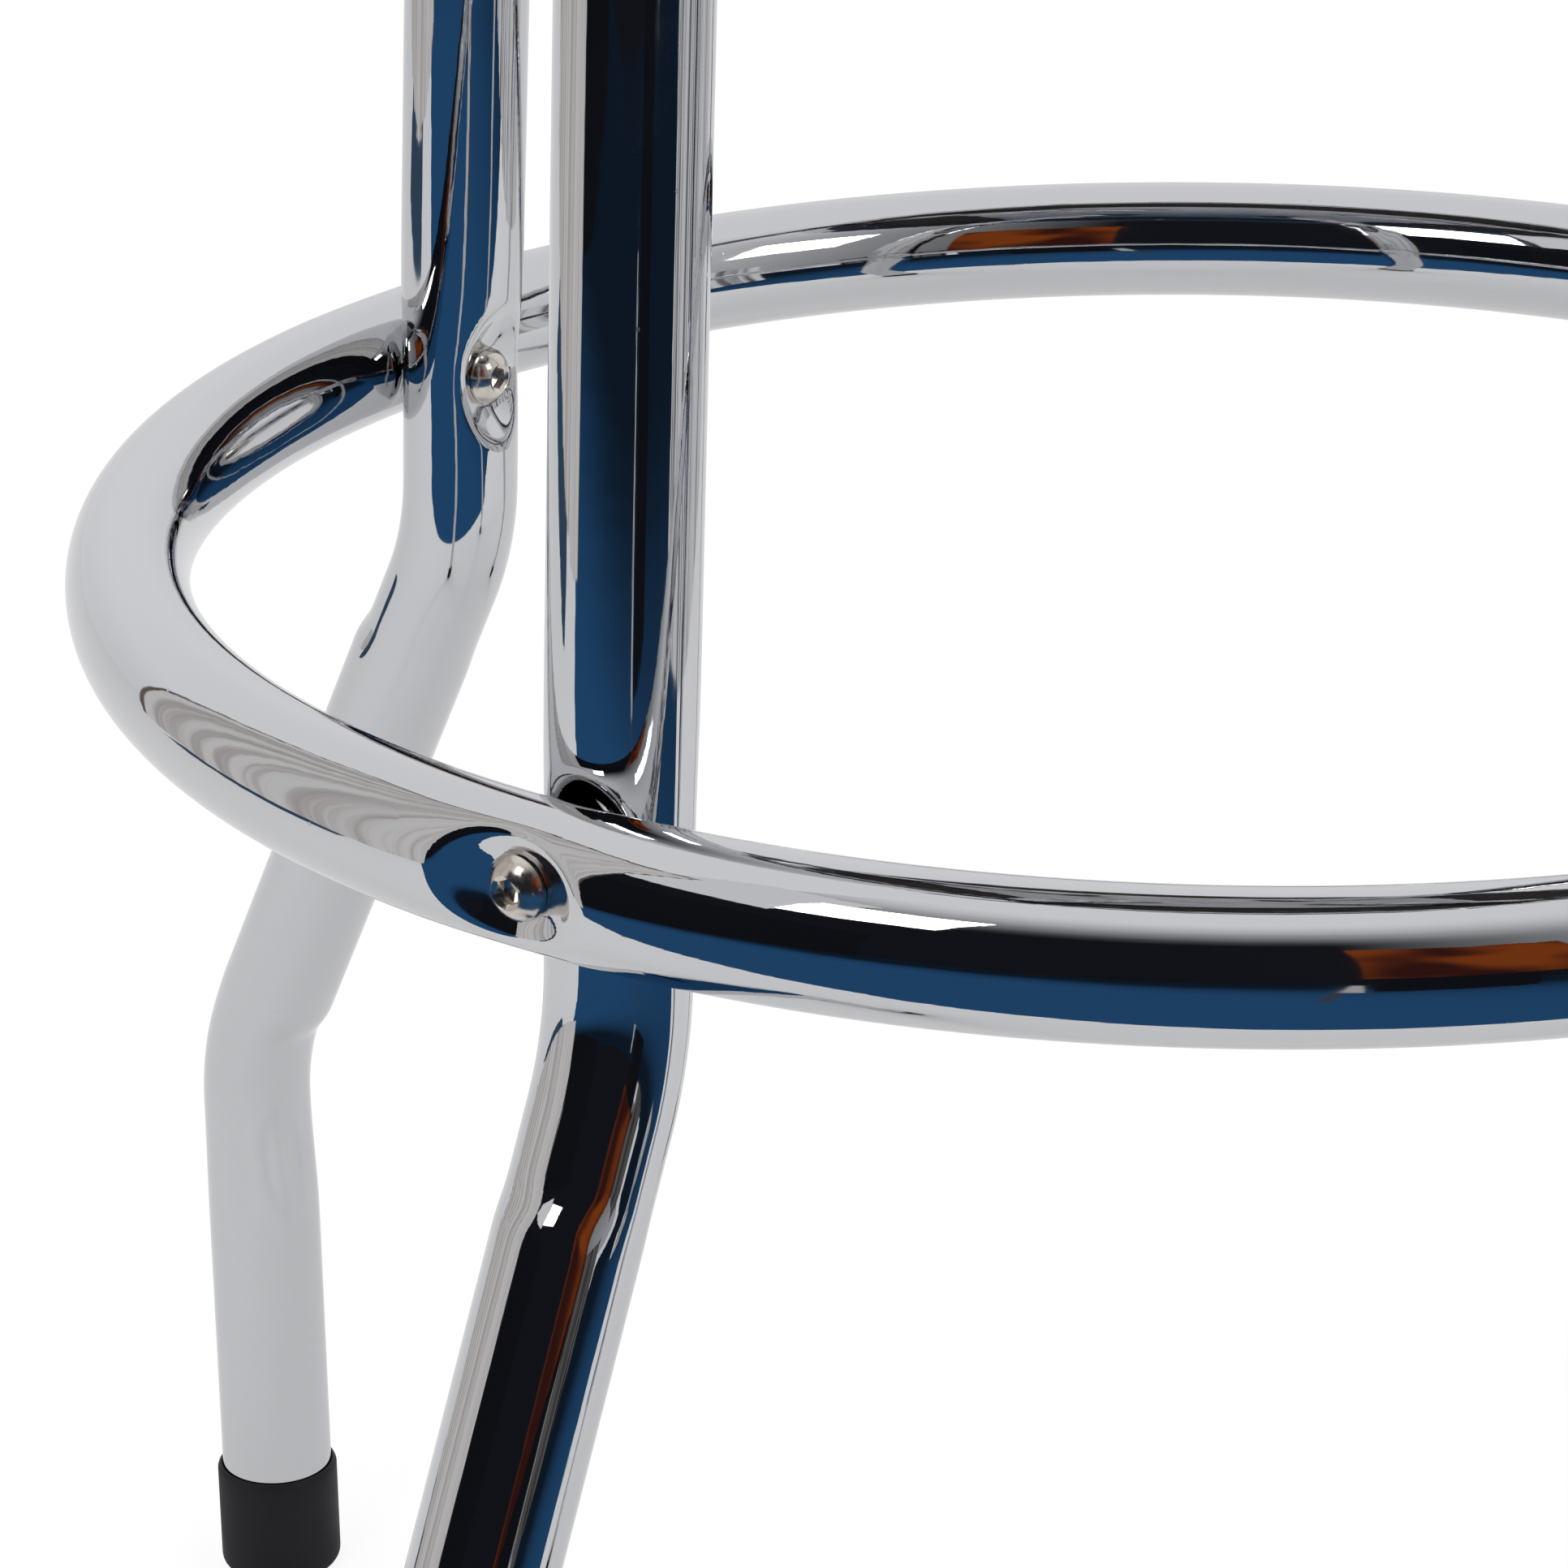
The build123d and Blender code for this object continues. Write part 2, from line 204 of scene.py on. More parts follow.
def noiseOf(tree, vector, scale, detail=2.0, roughness=0.5, stretch=None):
    if stretch:
        mapping = addNode(tree, "Mapping")
        mapping.inputs["Scale"].default_value = stretch
        joinTo(tree, vector, mapping.inputs["Vector"])
        vector = mapping.outputs["Vector"]
    node = addNode(tree, "TexNoise", Scale=scale, Detail=detail, Roughness=roughness)
    joinTo(tree, vector, node.inputs["Vector"])
    return node.outputs["Fac"]


def cellsOf(tree, vector, scale, feature="F1"):
    node = addNode(tree, "TexVoronoi", feature=feature, Scale=scale)
    joinTo(tree, vector, node.inputs["Vector"])
    return node


def dustOf(tree, place, dust):  # round grains in a few of the cells
    cells = cellsOf(tree, place, dust["cells"])
    split = addNode(tree, "SeparateColor")
    joinTo(tree, cells.outputs["Color"], split.inputs["Color"])
    near = rampOf(tree, cells.outputs["Distance"], *dust["size"], 1, 0)
    few = rampOf(tree, split.outputs["Red"], *dust["share"])
    return mathOf(tree, "MULTIPLY", near, few)


def startMaterial(name, **values):
    material = bpy.data.materials.new(name)
    material.use_nodes = True
    tree = material.node_tree
    shader = tree.nodes["Principled BSDF"]
    for key, value in values.items():
        shader.inputs[key.replace("_", " ")].default_value = value
    return material, tree, shader


def bumpUp(tree, shader, layers):  # (height, strength, metres) from broad to fine
    below = None
    for height, strength, distance in layers:
        bump = addNode(tree, "Bump", Strength=strength, Distance=distance)
        joinTo(tree, height, bump.inputs["Height"])
        if below:
            joinTo(tree, below, bump.inputs["Normal"])
        below = bump.outputs["Normal"]
    joinTo(tree, below, shader.inputs["Normal"])


def objectPlace(tree):
    return addNode(tree, "TexCoord").outputs["Object"]


def runPlace(tree):  # the tube's own place before it was bent
    return addNode(tree, "Attribute", attribute_name="tubeRun").outputs["Vector"]


# finishes: a noise is (scale, detail, roughness), a bump (strength, metres), a ramp (from, to, start, end)
chrome = {
    "color": (0.605, 0.610, 0.625, 1),
    "lines": (1.0, 3, 0.6),
    "tubeLines": (1500, 1500, 14),
    "bandLines": (60, 60, 2600),
    "lineBump": (0.22, 0.00002),
    "peel": (130, 1),
    "peelBump": (0.3, 0.00006),
    "wave": (34, 1),
    "waveBump": (0.35, 0.00022),
    "haze": (22, 4, 0.6),
    "hazeDull": (0.45, 0.75, 0.022, 0.065),
    "dust": {"cells": 150, "size": (0.03, 0.075), "share": (0.90, 0.93)},
    "dustDull": 0.4,
}


def makeChrome(name, onTube):
    material, tree, shader = startMaterial(name, Metallic=1.0, Base_Color=chrome["color"])
    place = objectPlace(tree)
    grain, stretch = (runPlace(tree), chrome["tubeLines"]) if onTube else (place, chrome["bandLines"])
    drawn = noiseOf(tree, grain, *chrome["lines"], stretch=stretch)
    peel = noiseOf(tree, place, *chrome["peel"])
    wave = noiseOf(tree, place, *chrome["wave"])
    bumps = [(wave, *chrome["waveBump"]), (peel, *chrome["peelBump"]), (drawn, *chrome["lineBump"])]
    bumpUp(tree, shader, bumps)
    specks = mathOf(tree, "MULTIPLY", dustOf(tree, place, chrome["dust"]), chrome["dustDull"])
    haze = rampOf(tree, noiseOf(tree, place, *chrome["haze"]), *chrome["hazeDull"])
    joinTo(tree, mathOf(tree, "ADD", haze, specks), shader.inputs["Roughness"])
    return material


hardware = {
    "clouds": (4, 0.62),
    "cloudRamp": (0.35, 0.7),
    "cloudShade": 0.78,
    "cloudBump": (0.15, 0.0001),
    "fineTimes": 9,
    "fineDetail": 2,
    "fineRamp": (0.2, 0.8),
    "fineDull": (0.7, 1.35),
    "fineHeight": 0.00003,
}


def makeMetal(name, color, dull, cloud, spots):  # plated or bare small hardware
    material, tree, shader = startMaterial(name, Metallic=1.0)
    place = objectPlace(tree)
    clouds = noiseOf(tree, place, cloud, *hardware["clouds"])
    deeper = tuple(c * hardware["cloudShade"] for c in color[:3]) + (1,)
    shade = rampOf(tree, clouds, *hardware["cloudRamp"])
    joinTo(tree, mixOf(tree, shade, color, deeper), shader.inputs["Base Color"])
    fine = noiseOf(tree, place, cloud * hardware["fineTimes"], hardware["fineDetail"])
    dullRange = [dull * times for times in hardware["fineDull"]]
    joinTo(tree, rampOf(tree, fine, *hardware["fineRamp"], *dullRange), shader.inputs["Roughness"])
    bumpUp(tree, shader, [(clouds, *hardware["cloudBump"]), (fine, spots, hardware["fineHeight"])])
    return material


rubber = {
    "gloss": 0.20,
    "patch": (60, 4, 0.6),
    "patchRamp": (0.3, 0.75),
    "patchBump": (0.2, 0.0002),
    "dark": (0.0072, 0.0078, 0.0100, 1),
    "light": (0.0115, 0.0121, 0.0148, 1),
    "dull": (0.3, 0.7, 0.50, 0.64),
    "fine": (1500, 2),
    "fineBump": (0.25, 0.00006),
    "dust": {"cells": 210, "size": (0.03, 0.09), "share": (0.95, 0.96)},
    "dustColor": (0.11, 0.105, 0.10, 1),
}


def makeRubber(name):
    material, tree, shader = startMaterial(name, Specular_IOR_Level=rubber["gloss"])
    place = objectPlace(tree)
    patch = noiseOf(tree, place, *rubber["patch"])
    color = mixOf(tree, rampOf(tree, patch, *rubber["patchRamp"]), rubber["dark"], rubber["light"])
    specks = dustOf(tree, place, rubber["dust"])
    joinTo(tree, mixOf(tree, specks, color, rubber["dustColor"]), shader.inputs["Base Color"])
    joinTo(tree, rampOf(tree, patch, *rubber["dull"]), shader.inputs["Roughness"])
    fine = noiseOf(tree, place, *rubber["fine"])
    bumpUp(tree, shader, [(patch, *rubber["patchBump"]), (fine, *rubber["fineBump"])])
    return material


vinyl = {
    "gloss": 0.5,
    "driftScale": 90.0,
    "driftReach": 0.006,
    "pebbles": 640,
    "pebbleRamp": (0.0, 0.22),
    "pebbleBump": (0.45, 0.00010),
    "pebbleShine": 0.04,
    "creases": 210,
    "creaseRamp": (0.0, 0.10),
    "creaseBump": (0.35, 0.00012),
    "rubbed": (14, 4, 0.6),
    "rubbedRamp": (0.45, 0.75),
    "rubbedBump": (0.25, 0.0012),
    "groove": (0.006, 0.006, 0.0065, 1),
    "dark": (0.0105, 0.0105, 0.0115, 1),
    "worn": (0.0170, 0.0168, 0.0175, 1),
    "dull": (0.3, 0.75, 0.33, 0.45),
}


def makeVinyl(name):
    material, tree, shader = startMaterial(name, Specular_IOR_Level=vinyl["gloss"])
    place = objectPlace(tree)
    drift = addNode(tree, "TexNoise", Scale=vinyl["driftScale"])
    joinTo(tree, place, drift.inputs["Vector"])
    bent = addNode(tree, "VectorMath", operation="MULTIPLY_ADD")
    joinTo(tree, drift.outputs["Color"], bent.inputs[0])
    bent.inputs[1].default_value = [vinyl["driftReach"]] * 3
    joinTo(tree, place, bent.inputs[2])
    pebbles = cellsOf(tree, bent.outputs[0], vinyl["pebbles"], "DISTANCE_TO_EDGE").outputs["Distance"]
    creases = cellsOf(tree, bent.outputs[0], vinyl["creases"], "DISTANCE_TO_EDGE").outputs["Distance"]
    grain = rampOf(tree, pebbles, *vinyl["pebbleRamp"])
    fold = rampOf(tree, creases, *vinyl["creaseRamp"])
    rubbed = noiseOf(tree, place, *vinyl["rubbed"])
    top = mixOf(tree, rampOf(tree, rubbed, *vinyl["rubbedRamp"]), vinyl["dark"], vinyl["worn"])
    joinTo(tree, mixOf(tree, grain, vinyl["groove"], top), shader.inputs["Base Color"])
    shine = mathOf(tree, "MULTIPLY", grain, vinyl["pebbleShine"])
    dull = mathOf(tree, "SUBTRACT", rampOf(tree, rubbed, *vinyl["dull"]), shine)
    joinTo(tree, dull, shader.inputs["Roughness"])
    bumps = [(rubbed, *vinyl["rubbedBump"]), (fold, *vinyl["creaseBump"]), (grain, *vinyl["pebbleBump"])]
    bumpUp(tree, shader, bumps)
    return material


wood = {
    "gloss": 0.4,
    "rings": (1.0, 5, 0.6),
    "ringStretch": (9, 150, 60),
    "ringRamp": (0.3, 0.7),
    "ringBump": (0.3, 0.0003),
    "dark": (0.012, 0.010, 0.009, 1),
    "light": (0.030, 0.024, 0.020, 1),
    "dull": (0.2, 0.8, 0.48, 0.66),
    "pores": (1.0, 2, 0.5),
    "poreStretch": (60, 1500, 300),
    "poreRamp": (0.55, 0.75),
    "poreBump": (0.4, 0.00012),
    "poreColor": (0.006, 0.005, 0.005, 1),
}


def makeBoardStain(name):
    material, tree, shader = startMaterial(name, Specular_IOR_Level=wood["gloss"])
    place = objectPlace(tree)
    rings = noiseOf(tree, place, *wood["rings"], stretch=wood["ringStretch"])
    pores = noiseOf(tree, place, *wood["pores"], stretch=wood["poreStretch"])
    stain = mixOf(tree, rampOf(tree, rings, *wood["ringRamp"]), wood["dark"], wood["light"])
    openPores = rampOf(tree, pores, *wood["poreRamp"])
    joinTo(tree, mixOf(tree, openPores, stain, wood["poreColor"]), shader.inputs["Base Color"])
    joinTo(tree, rampOf(tree, rings, *wood["dull"]), shader.inputs["Roughness"])
    bumpUp(tree, shader, [(rings, *wood["ringBump"]), (pores, *wood["poreBump"])])
    return material


plastic = {
    "gloss": 0.45,
    "flow": (70, 3),
    "dark": (0.012, 0.012, 0.013, 1),
    "light": (0.022, 0.022, 0.023, 1),
    "dull": (0.3, 0.7, 0.36, 0.5),
    "sparks": (900, 2),
    "sparkBump": (0.3, 0.00006),
}


def makePlastic(name):
    material, tree, shader = startMaterial(name, Specular_IOR_Level=plastic["gloss"])
    place = objectPlace(tree)
    flow = noiseOf(tree, place, *plastic["flow"])
    joinTo(tree, mixOf(tree, flow, plastic["dark"], plastic["light"]), shader.inputs["Base Color"])
    joinTo(tree, rampOf(tree, flow, *plastic["dull"]), shader.inputs["Roughness"])
    bumpUp(tree, shader, [(noiseOf(tree, place, *plastic["sparks"]), *plastic["sparkBump"])])
    return material


thread = {
    "gloss": 0.4,
    "sheen": 0.3,
    "twist": (2200, 2),
    "twistBump": (0.5, 0.0001),
    "dark": (0.010, 0.010, 0.011, 1),
    "light": (0.034, 0.034, 0.036, 1),
    "dull": (0.2, 0.8, 0.4, 0.6),
}


def makeThread(name):
    look = {"Specular_IOR_Level": thread["gloss"], "Sheen_Weight": thread["sheen"]}
    material, tree, shader = startMaterial(name, **look)
    twist = noiseOf(tree, objectPlace(tree), *thread["twist"])
    joinTo(tree, mixOf(tree, twist, thread["dark"], thread["light"]), shader.inputs["Base Color"])
    joinTo(tree, rampOf(tree, twist, *thread["dull"]), shader.inputs["Roughness"])
    bumpUp(tree, shader, [(twist, *thread["twistBump"])])
    return material


chromeTube = makeChrome("chromeTube", onTube=True)
chromeBand = makeChrome("chromeBand", onTube=False)
nickelBolt = makeMetal("nickelBolt", (0.70, 0.650, 0.59, 1), dull=0.17, cloud=170, spots=0.25)
zincSteel = makeMetal("zincSteel", (0.56, 0.565, 0.57, 1), dull=0.34, cloud=60, spots=0.2)
bearingSteel = makeMetal("bearingSteel", (0.60, 0.60, 0.61, 1), dull=0.12, cloud=90, spots=0.1)
blackRubber = makeRubber("blackRubber")
blackPlastic = makePlastic("blackPlastic")
blackVinyl = makeVinyl("blackVinyl")
stainedBoard = makeBoardStain("stainedBoard")
seamThread = makeThread("seamThread")
carriedFinish = {
    zincSteel: [
        "foot_tip_washers", "leg_nuts", "swivel_base_plate", "swivel_kingpin",
        "swivel_top_plate", "swivel_screws", "band_screws", "cover_staples",
    ],
    bearingSteel: ["swivel_balls"],
    blackPlastic: ["leg_end_plugs", "swivel_kingpin_washer"],
    stainedBoard: ["seat_board"],
}
for finish, names in carriedFinish.items():
    for name in names:
        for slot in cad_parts[name].material_slots:
            slot.material = finish
print("finishes made")

# press marks of the flat nosed punch
dimple = {
    "punch": 0.021,
    "flat": 0.0059,
    "depth": 0.0055,
    "rim": 0.0020,
    "pull": 0.0014,
    "pullReach": 0.015,
    "pullEnd": 3.5,  # in reaches
    "outEnd": 1.2,  # in crowns
}


# start is on the tube's middle line, and crown is how far its skin lies from there
def pressDimple(bm, start, along, crown):
    along = Vector(along).normalized()
    start = Vector(start)
    floor = crown - dimple["depth"]
    middle = floor + sqrt(dimple["punch"] ** 2 - dimple["flat"] ** 2)
    for v in bm.verts:
        out = (v.co - start).dot(along)
        side = ((v.co - start) - out * along).length
        if not 0 < out < crown * dimple["outEnd"] or side > dimple["pullReach"] * dimple["pullEnd"]:
            continue
        pull = dimple["pull"] * exp(-((side / dimple["pullReach"]) ** 2)) * easedStep(out / crown)
        inside = max(dimple["punch"] ** 2 - side**2, 0.0)
        nose = max(floor, middle - sqrt(inside))
        v.co += along * (softMin(out - pull, nose, dimple["rim"]) - out)


# legs: a straight tube is bent with the hollow sides of its lower bends pressed flat, then dimpled
leg = {
    "tube": 0.0127,
    "around": 96,
    "ringReach": 0.18421,
    "splay": radians(3.5),
    "flareDrop": 0.0372,
    "flareLow": 0.134,
    "bends": (0.060, 0.060, 0.036),
    "topBolts": (0.077, 0.110),
    "topEnd": 0.052,
    "fineStep": 0.0008,
    "bendStep": 0.0016,
    "coarseStep": 0.008,
    "dimpleHalf": 0.020,
    "squeeze": (0.135, 0.03),
    "fadeLong": 0.030,
    "fadeShort": 0.0100,
    "fadeTop": 0.002,
    "clampLow": -0.005,
    "clampHigh": 0.0115,
}
topHeight = legHigh[2] - leg["tube"]


def legCorners():  # (reach, height) of the bent line's corners from the floor up
    lean = tan(leg["splay"])
    return [
        (footReach, legLow[2]),
        (footReach, leg["flareLow"]),
        (leg["ringReach"] + leg["flareDrop"] * lean, ringHeight - leg["flareDrop"]),
        (leg["ringReach"] - (topHeight - ringHeight) * lean, topHeight),
        (leg["topEnd"], topHeight),
    ]


def legRuns():  # straight lengths and bends from the floor up; a turn towards +X is plus
    corners = [Vector((r, 0, z)) for r, z in legCorners()]
    runs, spent = [], 0.0
    for i, radius in enumerate(leg["bends"]):
        into = corners[i + 1] - corners[i]
        away = corners[i + 2] - corners[i + 1]
        turn = into.angle(away) * (1 if into.cross(away).y > 0 else -1)
        cut = radius * tan(abs(turn) / 2)
        runs.append({"length": into.length - spent - cut, "turn": 0.0})
        runs.append({"length": radius * abs(turn), "turn": turn})
        spent = cut
    runs.append({"length": (corners[-1] - corners[-2]).length - spent, "turn": 0.0})
    start = 0.0
    for run in runs:
        run["start"] = start
        start += run["length"]
    return runs


def legPlace(runs, along):  # where the tube's section goes at a distance along the bent line
    place = Matrix.Translation((footReach, 0, legLow[2]))
    for run in runs:
        part = min(max(along - run["start"], 0.0), run["length"])
        if part <= 0:
            break
        if run["turn"]:
            radius = run["length"] / run["turn"]
            spin = Matrix.Rotation(part / radius, 4, "Y")
            place = place @ Matrix.Translation((radius, 0, 0)) @ spin @ Matrix.Translation((-radius, 0, 0))
        else:
            place = place @ Matrix.Translation((0, 0, part))
    return place


def legSteps(runs):  # [size, count] of the tube's steps, finer in the bends and where a dimple is pressed
    topBend = runs[5]
    cut = leg["bends"][2] * tan(-topBend["turn"] / 2)
    marks = [topBend["start"] + cut - (topHeight - ringHeight) / cos(leg["splay"])]
    whole = runs[-1]["start"] + runs[-1]["length"]
    marks += [whole - (reach - leg["topEnd"]) for reach in leg["topBolts"]]
    steps, along = [], 0.0
    while along < whole - mergeGap:
        size = leg["coarseStep"]
        for run in runs:
            fade = leg["fadeTop"] if run is topBend else leg["fadeLong"]
            if run["turn"] and run["start"] - fade < along < run["start"] + run["length"] + fade:
                size = leg["bendStep"]
        if min(abs(along - m) for m in marks) < leg["dimpleHalf"]:
            size = leg["fineStep"]
        size = min(size, whole - along)
        along += size
        if steps and steps[-1][0] == size:
            steps[-1][1] += 1
        else:
            steps.append([size, 1])
    return steps


def flattenSection(x, along, runs):  # the bending former presses the hollow side of both lower bends most
    low, high = runs[1], runs[3]
    lowEnd = low["start"] + low["length"] + leg["clampLow"]
    highStart = high["start"] - leg["clampHigh"]
    marks = [
        (-1, low["start"], lowEnd, leg["fadeLong"], leg["fadeShort"]),
        (1, highStart, high["start"] + high["length"], leg["fadeShort"], leg["fadeLong"]),
    ]
    for hollow, begin, end, fadeIn, fadeOut in marks:
        share = easedStep((along - begin) / fadeIn + 1) * easedStep((end - along) / fadeOut + 1)
        x *= 1 - leg["squeeze"][0 if x * hollow > 0 else 1] * share
    return x


def buildLeg():
    runs = legRuns()
    bm = bmesh.new()
    bmesh.ops.create_circle(bm, segments=leg["around"], radius=leg["tube"])
    rim = bm.verts[:] + bm.edges[:]
    for size, count in legSteps(runs):
        drawn = bmesh.ops.spin(bm, geom=rim, axis=(0, 0, 1), angle=0, dvec=(0, 0, size), steps=count)
        rim = drawn["geom_last"]
    unbent = bm.verts.layers.float_vector.new("tubeRun")
    places = {}
    for v in bm.verts:
        along = round(v.co.z, 6)
        if along not in places:
            places[along] = legPlace(runs, along)
        v[unbent] = v.co
        v.co = places[along] @ Vector((flattenSection(v.co.x, along, runs), v.co.y, 0))
    atRing = (leg["ringReach"], 0, ringHeight)
    pressDimple(bm, atRing, (1, 0, 0), leg["tube"])
    pressDimple(bm, atRing, (-1, 0, 0), leg["tube"])
    for reach in leg["topBolts"]:
        pressDimple(bm, (reach, 0, topHeight), (0, 0, -1), leg["tube"])
    ends = bmesh.ops.holes_fill(bm, edges=openRim(bm))["faces"]
    bmesh.ops.recalc_face_normals(bm, faces=bm.faces)
    for face in ends:  # tube ends keep a crisp edge
        for e in face.edges:
            e.smooth = False
    return bm


legMesh = buildLeg()
for side, degrees in legTurns.items():
    bm = legMesh.copy()
    bmesh.ops.transform(bm, matrix=turned(degrees), verts=bm.verts)
    finishPiece(sideName(side) + "LegTube", bm, chromeTube, "stand", [side + "_leg"])
legMesh.free()
print("legs bent and dimpled")

# foot ring: a quarter is rolled with its dimple in the middle, then set round four times
ring = {
    "halfWidth": 0.0115,
    "halfHeight": 0.01275,
    "around": 112,
    "halfQuarter": 45,
    "fineHalf": 6.2,
    "fineSteps": 56,
    "coarseSteps": 26,
    "joinGap": 1e-5,
}
ringMiddle = ringOuter - ring["halfWidth"]


def buildRing():
    bm = bmesh.new()
    bmesh.ops.create_circle(bm, segments=ring["around"], radius=1)
    shape = Matrix.Translation((ringMiddle, 0, ringHeight)) @ Matrix.Rotation(pi / 2, 4, "X")
    section = Matrix.Diagonal((ring["halfWidth"], ring["halfHeight"], 1, 1))
    shape = turned(-ring["halfQuarter"]) @ shape @ section
    bmesh.ops.transform(bm, matrix=shape, verts=bm.verts)
    rim = bm.verts[:] + bm.edges[:]
    plain = (radians(ring["halfQuarter"] - ring["fineHalf"]), ring["coarseSteps"])
    fine = (radians(2 * ring["fineHalf"]), ring["fineSteps"])
    for angle, steps in (plain, fine, plain):
        rim = bmesh.ops.spin(bm, geom=rim, axis=(0, 0, 1), angle=angle, steps=steps)["geom_last"]
    unbent = bm.verts.layers.float_vector.new("tubeRun")
    for v in bm.verts:
        out, turn = hypot(v.co.x, v.co.y) - ringMiddle, atan2(v.co.y, v.co.x)
        v[unbent] = (out, v.co.z - ringHeight, turn * ringMiddle)
    pressDimple(bm, (ringMiddle, 0, ringHeight), (1, 0, 0), ring["halfWidth"])
    addCopies(bm, [turned(degrees) for degrees in legTurns.values()])
    bmesh.ops.remove_doubles(bm, verts=openVerts(bm), dist=ring["joinGap"])
    bmesh.ops.recalc_face_normals(bm, faces=bm.faces)
    return bm


finishPiece("footRingTube", buildRing(), chromeTube, "stand", ["foot_ring"])
print("ring rolled and dimpled")

# button head bolts with a hexagon socket
button = {
    "radius": 0.00575,
    "height": 0.0033,
    "edge": 0.0007,
    "socketFlat": 0.0021,
    "depth": 0.0022,
    "drillPoint": 0.0005,
    "mouth": 0.0030,
    "mouthChamfer": 0.00045,
    "mouthRound": (0.0001, 0.00008),
    "footRound": (0.0002, 0.0001),
    "domeSteps": 9,
    "around": 48,
    "crease": 32,
    "ringBolt": (0.003, 0.031),  # radius and length of the stem
    "sleeveNut": (0.004, 0.0155),
    "legBolt": (0.003, 0.0258),
}


def buildButton(stem, length):  # underside at the origin, dome along +Z
    bm = bmesh.new()
    corner = button["socketFlat"] / cos(pi / 6)
    bottom = Matrix.Translation((0, 0, button["height"] - button["depth"]))
    bmesh.ops.create_circle(bm, segments=6, radius=corner, cap_ends=True, matrix=bottom)
    bmesh.ops.subdivide_edges(bm, edges=bm.edges, cuts=button["around"] // 6 - 1)
    rim = openRim(bm)
    bmesh.ops.poke(bm, faces=bm.faces[:], offset=-button["drillPoint"])
    fresh, rim = growRim(bm, rim)
    wall = button["depth"] - button["mouthChamfer"]
    bmesh.ops.translate(bm, vec=(0, 0, wall), verts=list(fresh))
    domeDrop = button["height"] - button["edge"]
    span = button["radius"] ** 2 - button["mouth"] ** 2
    dome = (span + domeDrop**2) / (2 * domeDrop)  # from the mouth's height down to the sphere's middle
    ball = hypot(button["mouth"], dome)
    inward, down = button["mouthRound"]
    rim = roundRim(bm, rim, button["mouth"] - inward, button["height"] - down)
    for i in range(button["domeSteps"] + 1):
        radius = button["mouth"] + (button["radius"] - button["mouth"]) * i / button["domeSteps"]
        rim = roundRim(bm, rim, radius, button["height"] - dome + sqrt(ball**2 - radius**2))
    inward, up = button["footRound"]
    rim = roundRim(bm, rim, button["radius"], up)
    rim = roundRim(bm, rim, button["radius"] - inward, 0)
    rim = roundRim(bm, rim, stem, 0)
    rim = roundRim(bm, rim, stem, -length)
    bmesh.ops.holes_fill(bm, edges=rim)
    bmesh.ops.recalc_face_normals(bm, faces=bm.faces)
    return bm


def placeButtons(name, node, stem, places):
    bm = buildButton(*stem)
    addCopies(bm, places)
    finishPiece(name, bm, nickelBolt, "stand", [node], crease=button["crease"])


facingOut = Matrix.Rotation(pi / 2, 4, "Y")
facingIn = facingOut.inverted()
facingDown = Matrix.Rotation(pi, 4, "X")
boltSeat = ringOuter - dimple["depth"]
nutSeat = leg["ringReach"] - leg["tube"] + dimple["depth"]
capSeat = topHeight - leg["tube"] + dimple["depth"]
# each bolt stopped where it was tight
wrench = {"rear_right": 11, "rear_left": 37, "front_left": 24, "front_right": 52}
ringBolts, sleeveNuts, legBolts = [], [], []
for side, degrees in legTurns.items():
    around = turned(degrees)
    twist = Matrix.Rotation(radians(wrench[side]), 4, "Z")
    ringBolts.append(around @ Matrix.Translation((boltSeat, 0, ringHeight)) @ facingOut @ twist)
    sleeveNuts.append(around @ Matrix.Translation((nutSeat, 0, ringHeight)) @ facingIn @ twist)
    for reach in leg["topBolts"]:
        under = Matrix.Translation((reach, 0, capSeat)) @ facingDown
        legBolts.append(around @ under @ twist)
placeButtons("ringButtonBolts", "ring_bolts", button["ringBolt"], ringBolts)
placeButtons("ringSleeveNuts", "ring_sleeve_nuts", button["sleeveNut"], sleeveNuts)
placeButtons("legButtonBolts", "leg_bolts", button["legBolt"], legBolts)
print("bolts set")

# rubber foot tips
tip = {
    "outer": 0.01395,
    "height": 0.0270,
    "bore": 0.01268,
    "boreFrom": 0.0140,
    "mouth": (0.00025, 0.0006),  # how far it opens, and how deep
    "rim": 0.0011,
    "ease": 0.0002,
    "sole": 0.0030,
    "soleSteps": 7,
    "grooves": ((0.0096, 0.0078), (0.0060, 0.0042)),  # outer and inner radius
    "grooveDeep": 0.0008,
    "soleMiddle": 0.0018,
    "steps": 96,
    "crease": 50,
}


def buildTip():
    outside, height, bore, ease = tip["outer"], tip["height"], tip["bore"], tip["ease"]
    rim = height - tip["rim"]
    wider, deep = tip["mouth"]
    points = [(bore, tip["boreFrom"]), (bore, height - deep), (bore + wider, height - ease / 2)]
    points += [(outside - tip["rim"] + ease, height), (outside - ease, rim + ease), (outside, rim - 2 * ease)]
    points += [(outside, height * share) for share in (0.75, 0.5, 0.25)]
    for i in range(tip["soleSteps"] + 1):
        angle = pi / 2 * i / tip["soleSteps"]
        points.append((outside - tip["sole"] * (1 - cos(angle)), tip["sole"] * (1 - sin(angle))))
    for outer, inner in tip["grooves"]:
        points += [(outer, 0), (outer - ease, tip["grooveDeep"])]
        points += [(inner + ease, tip["grooveDeep"]), (inner, 0)]
    points += [(tip["soleMiddle"], 0), (0, 0)]
    bm = bmesh.new()
    spinLine(bm, points, tip["steps"])
    bmesh.ops.translate(bm, vec=(footReach, 0, 0), verts=bm.verts)
    return bm


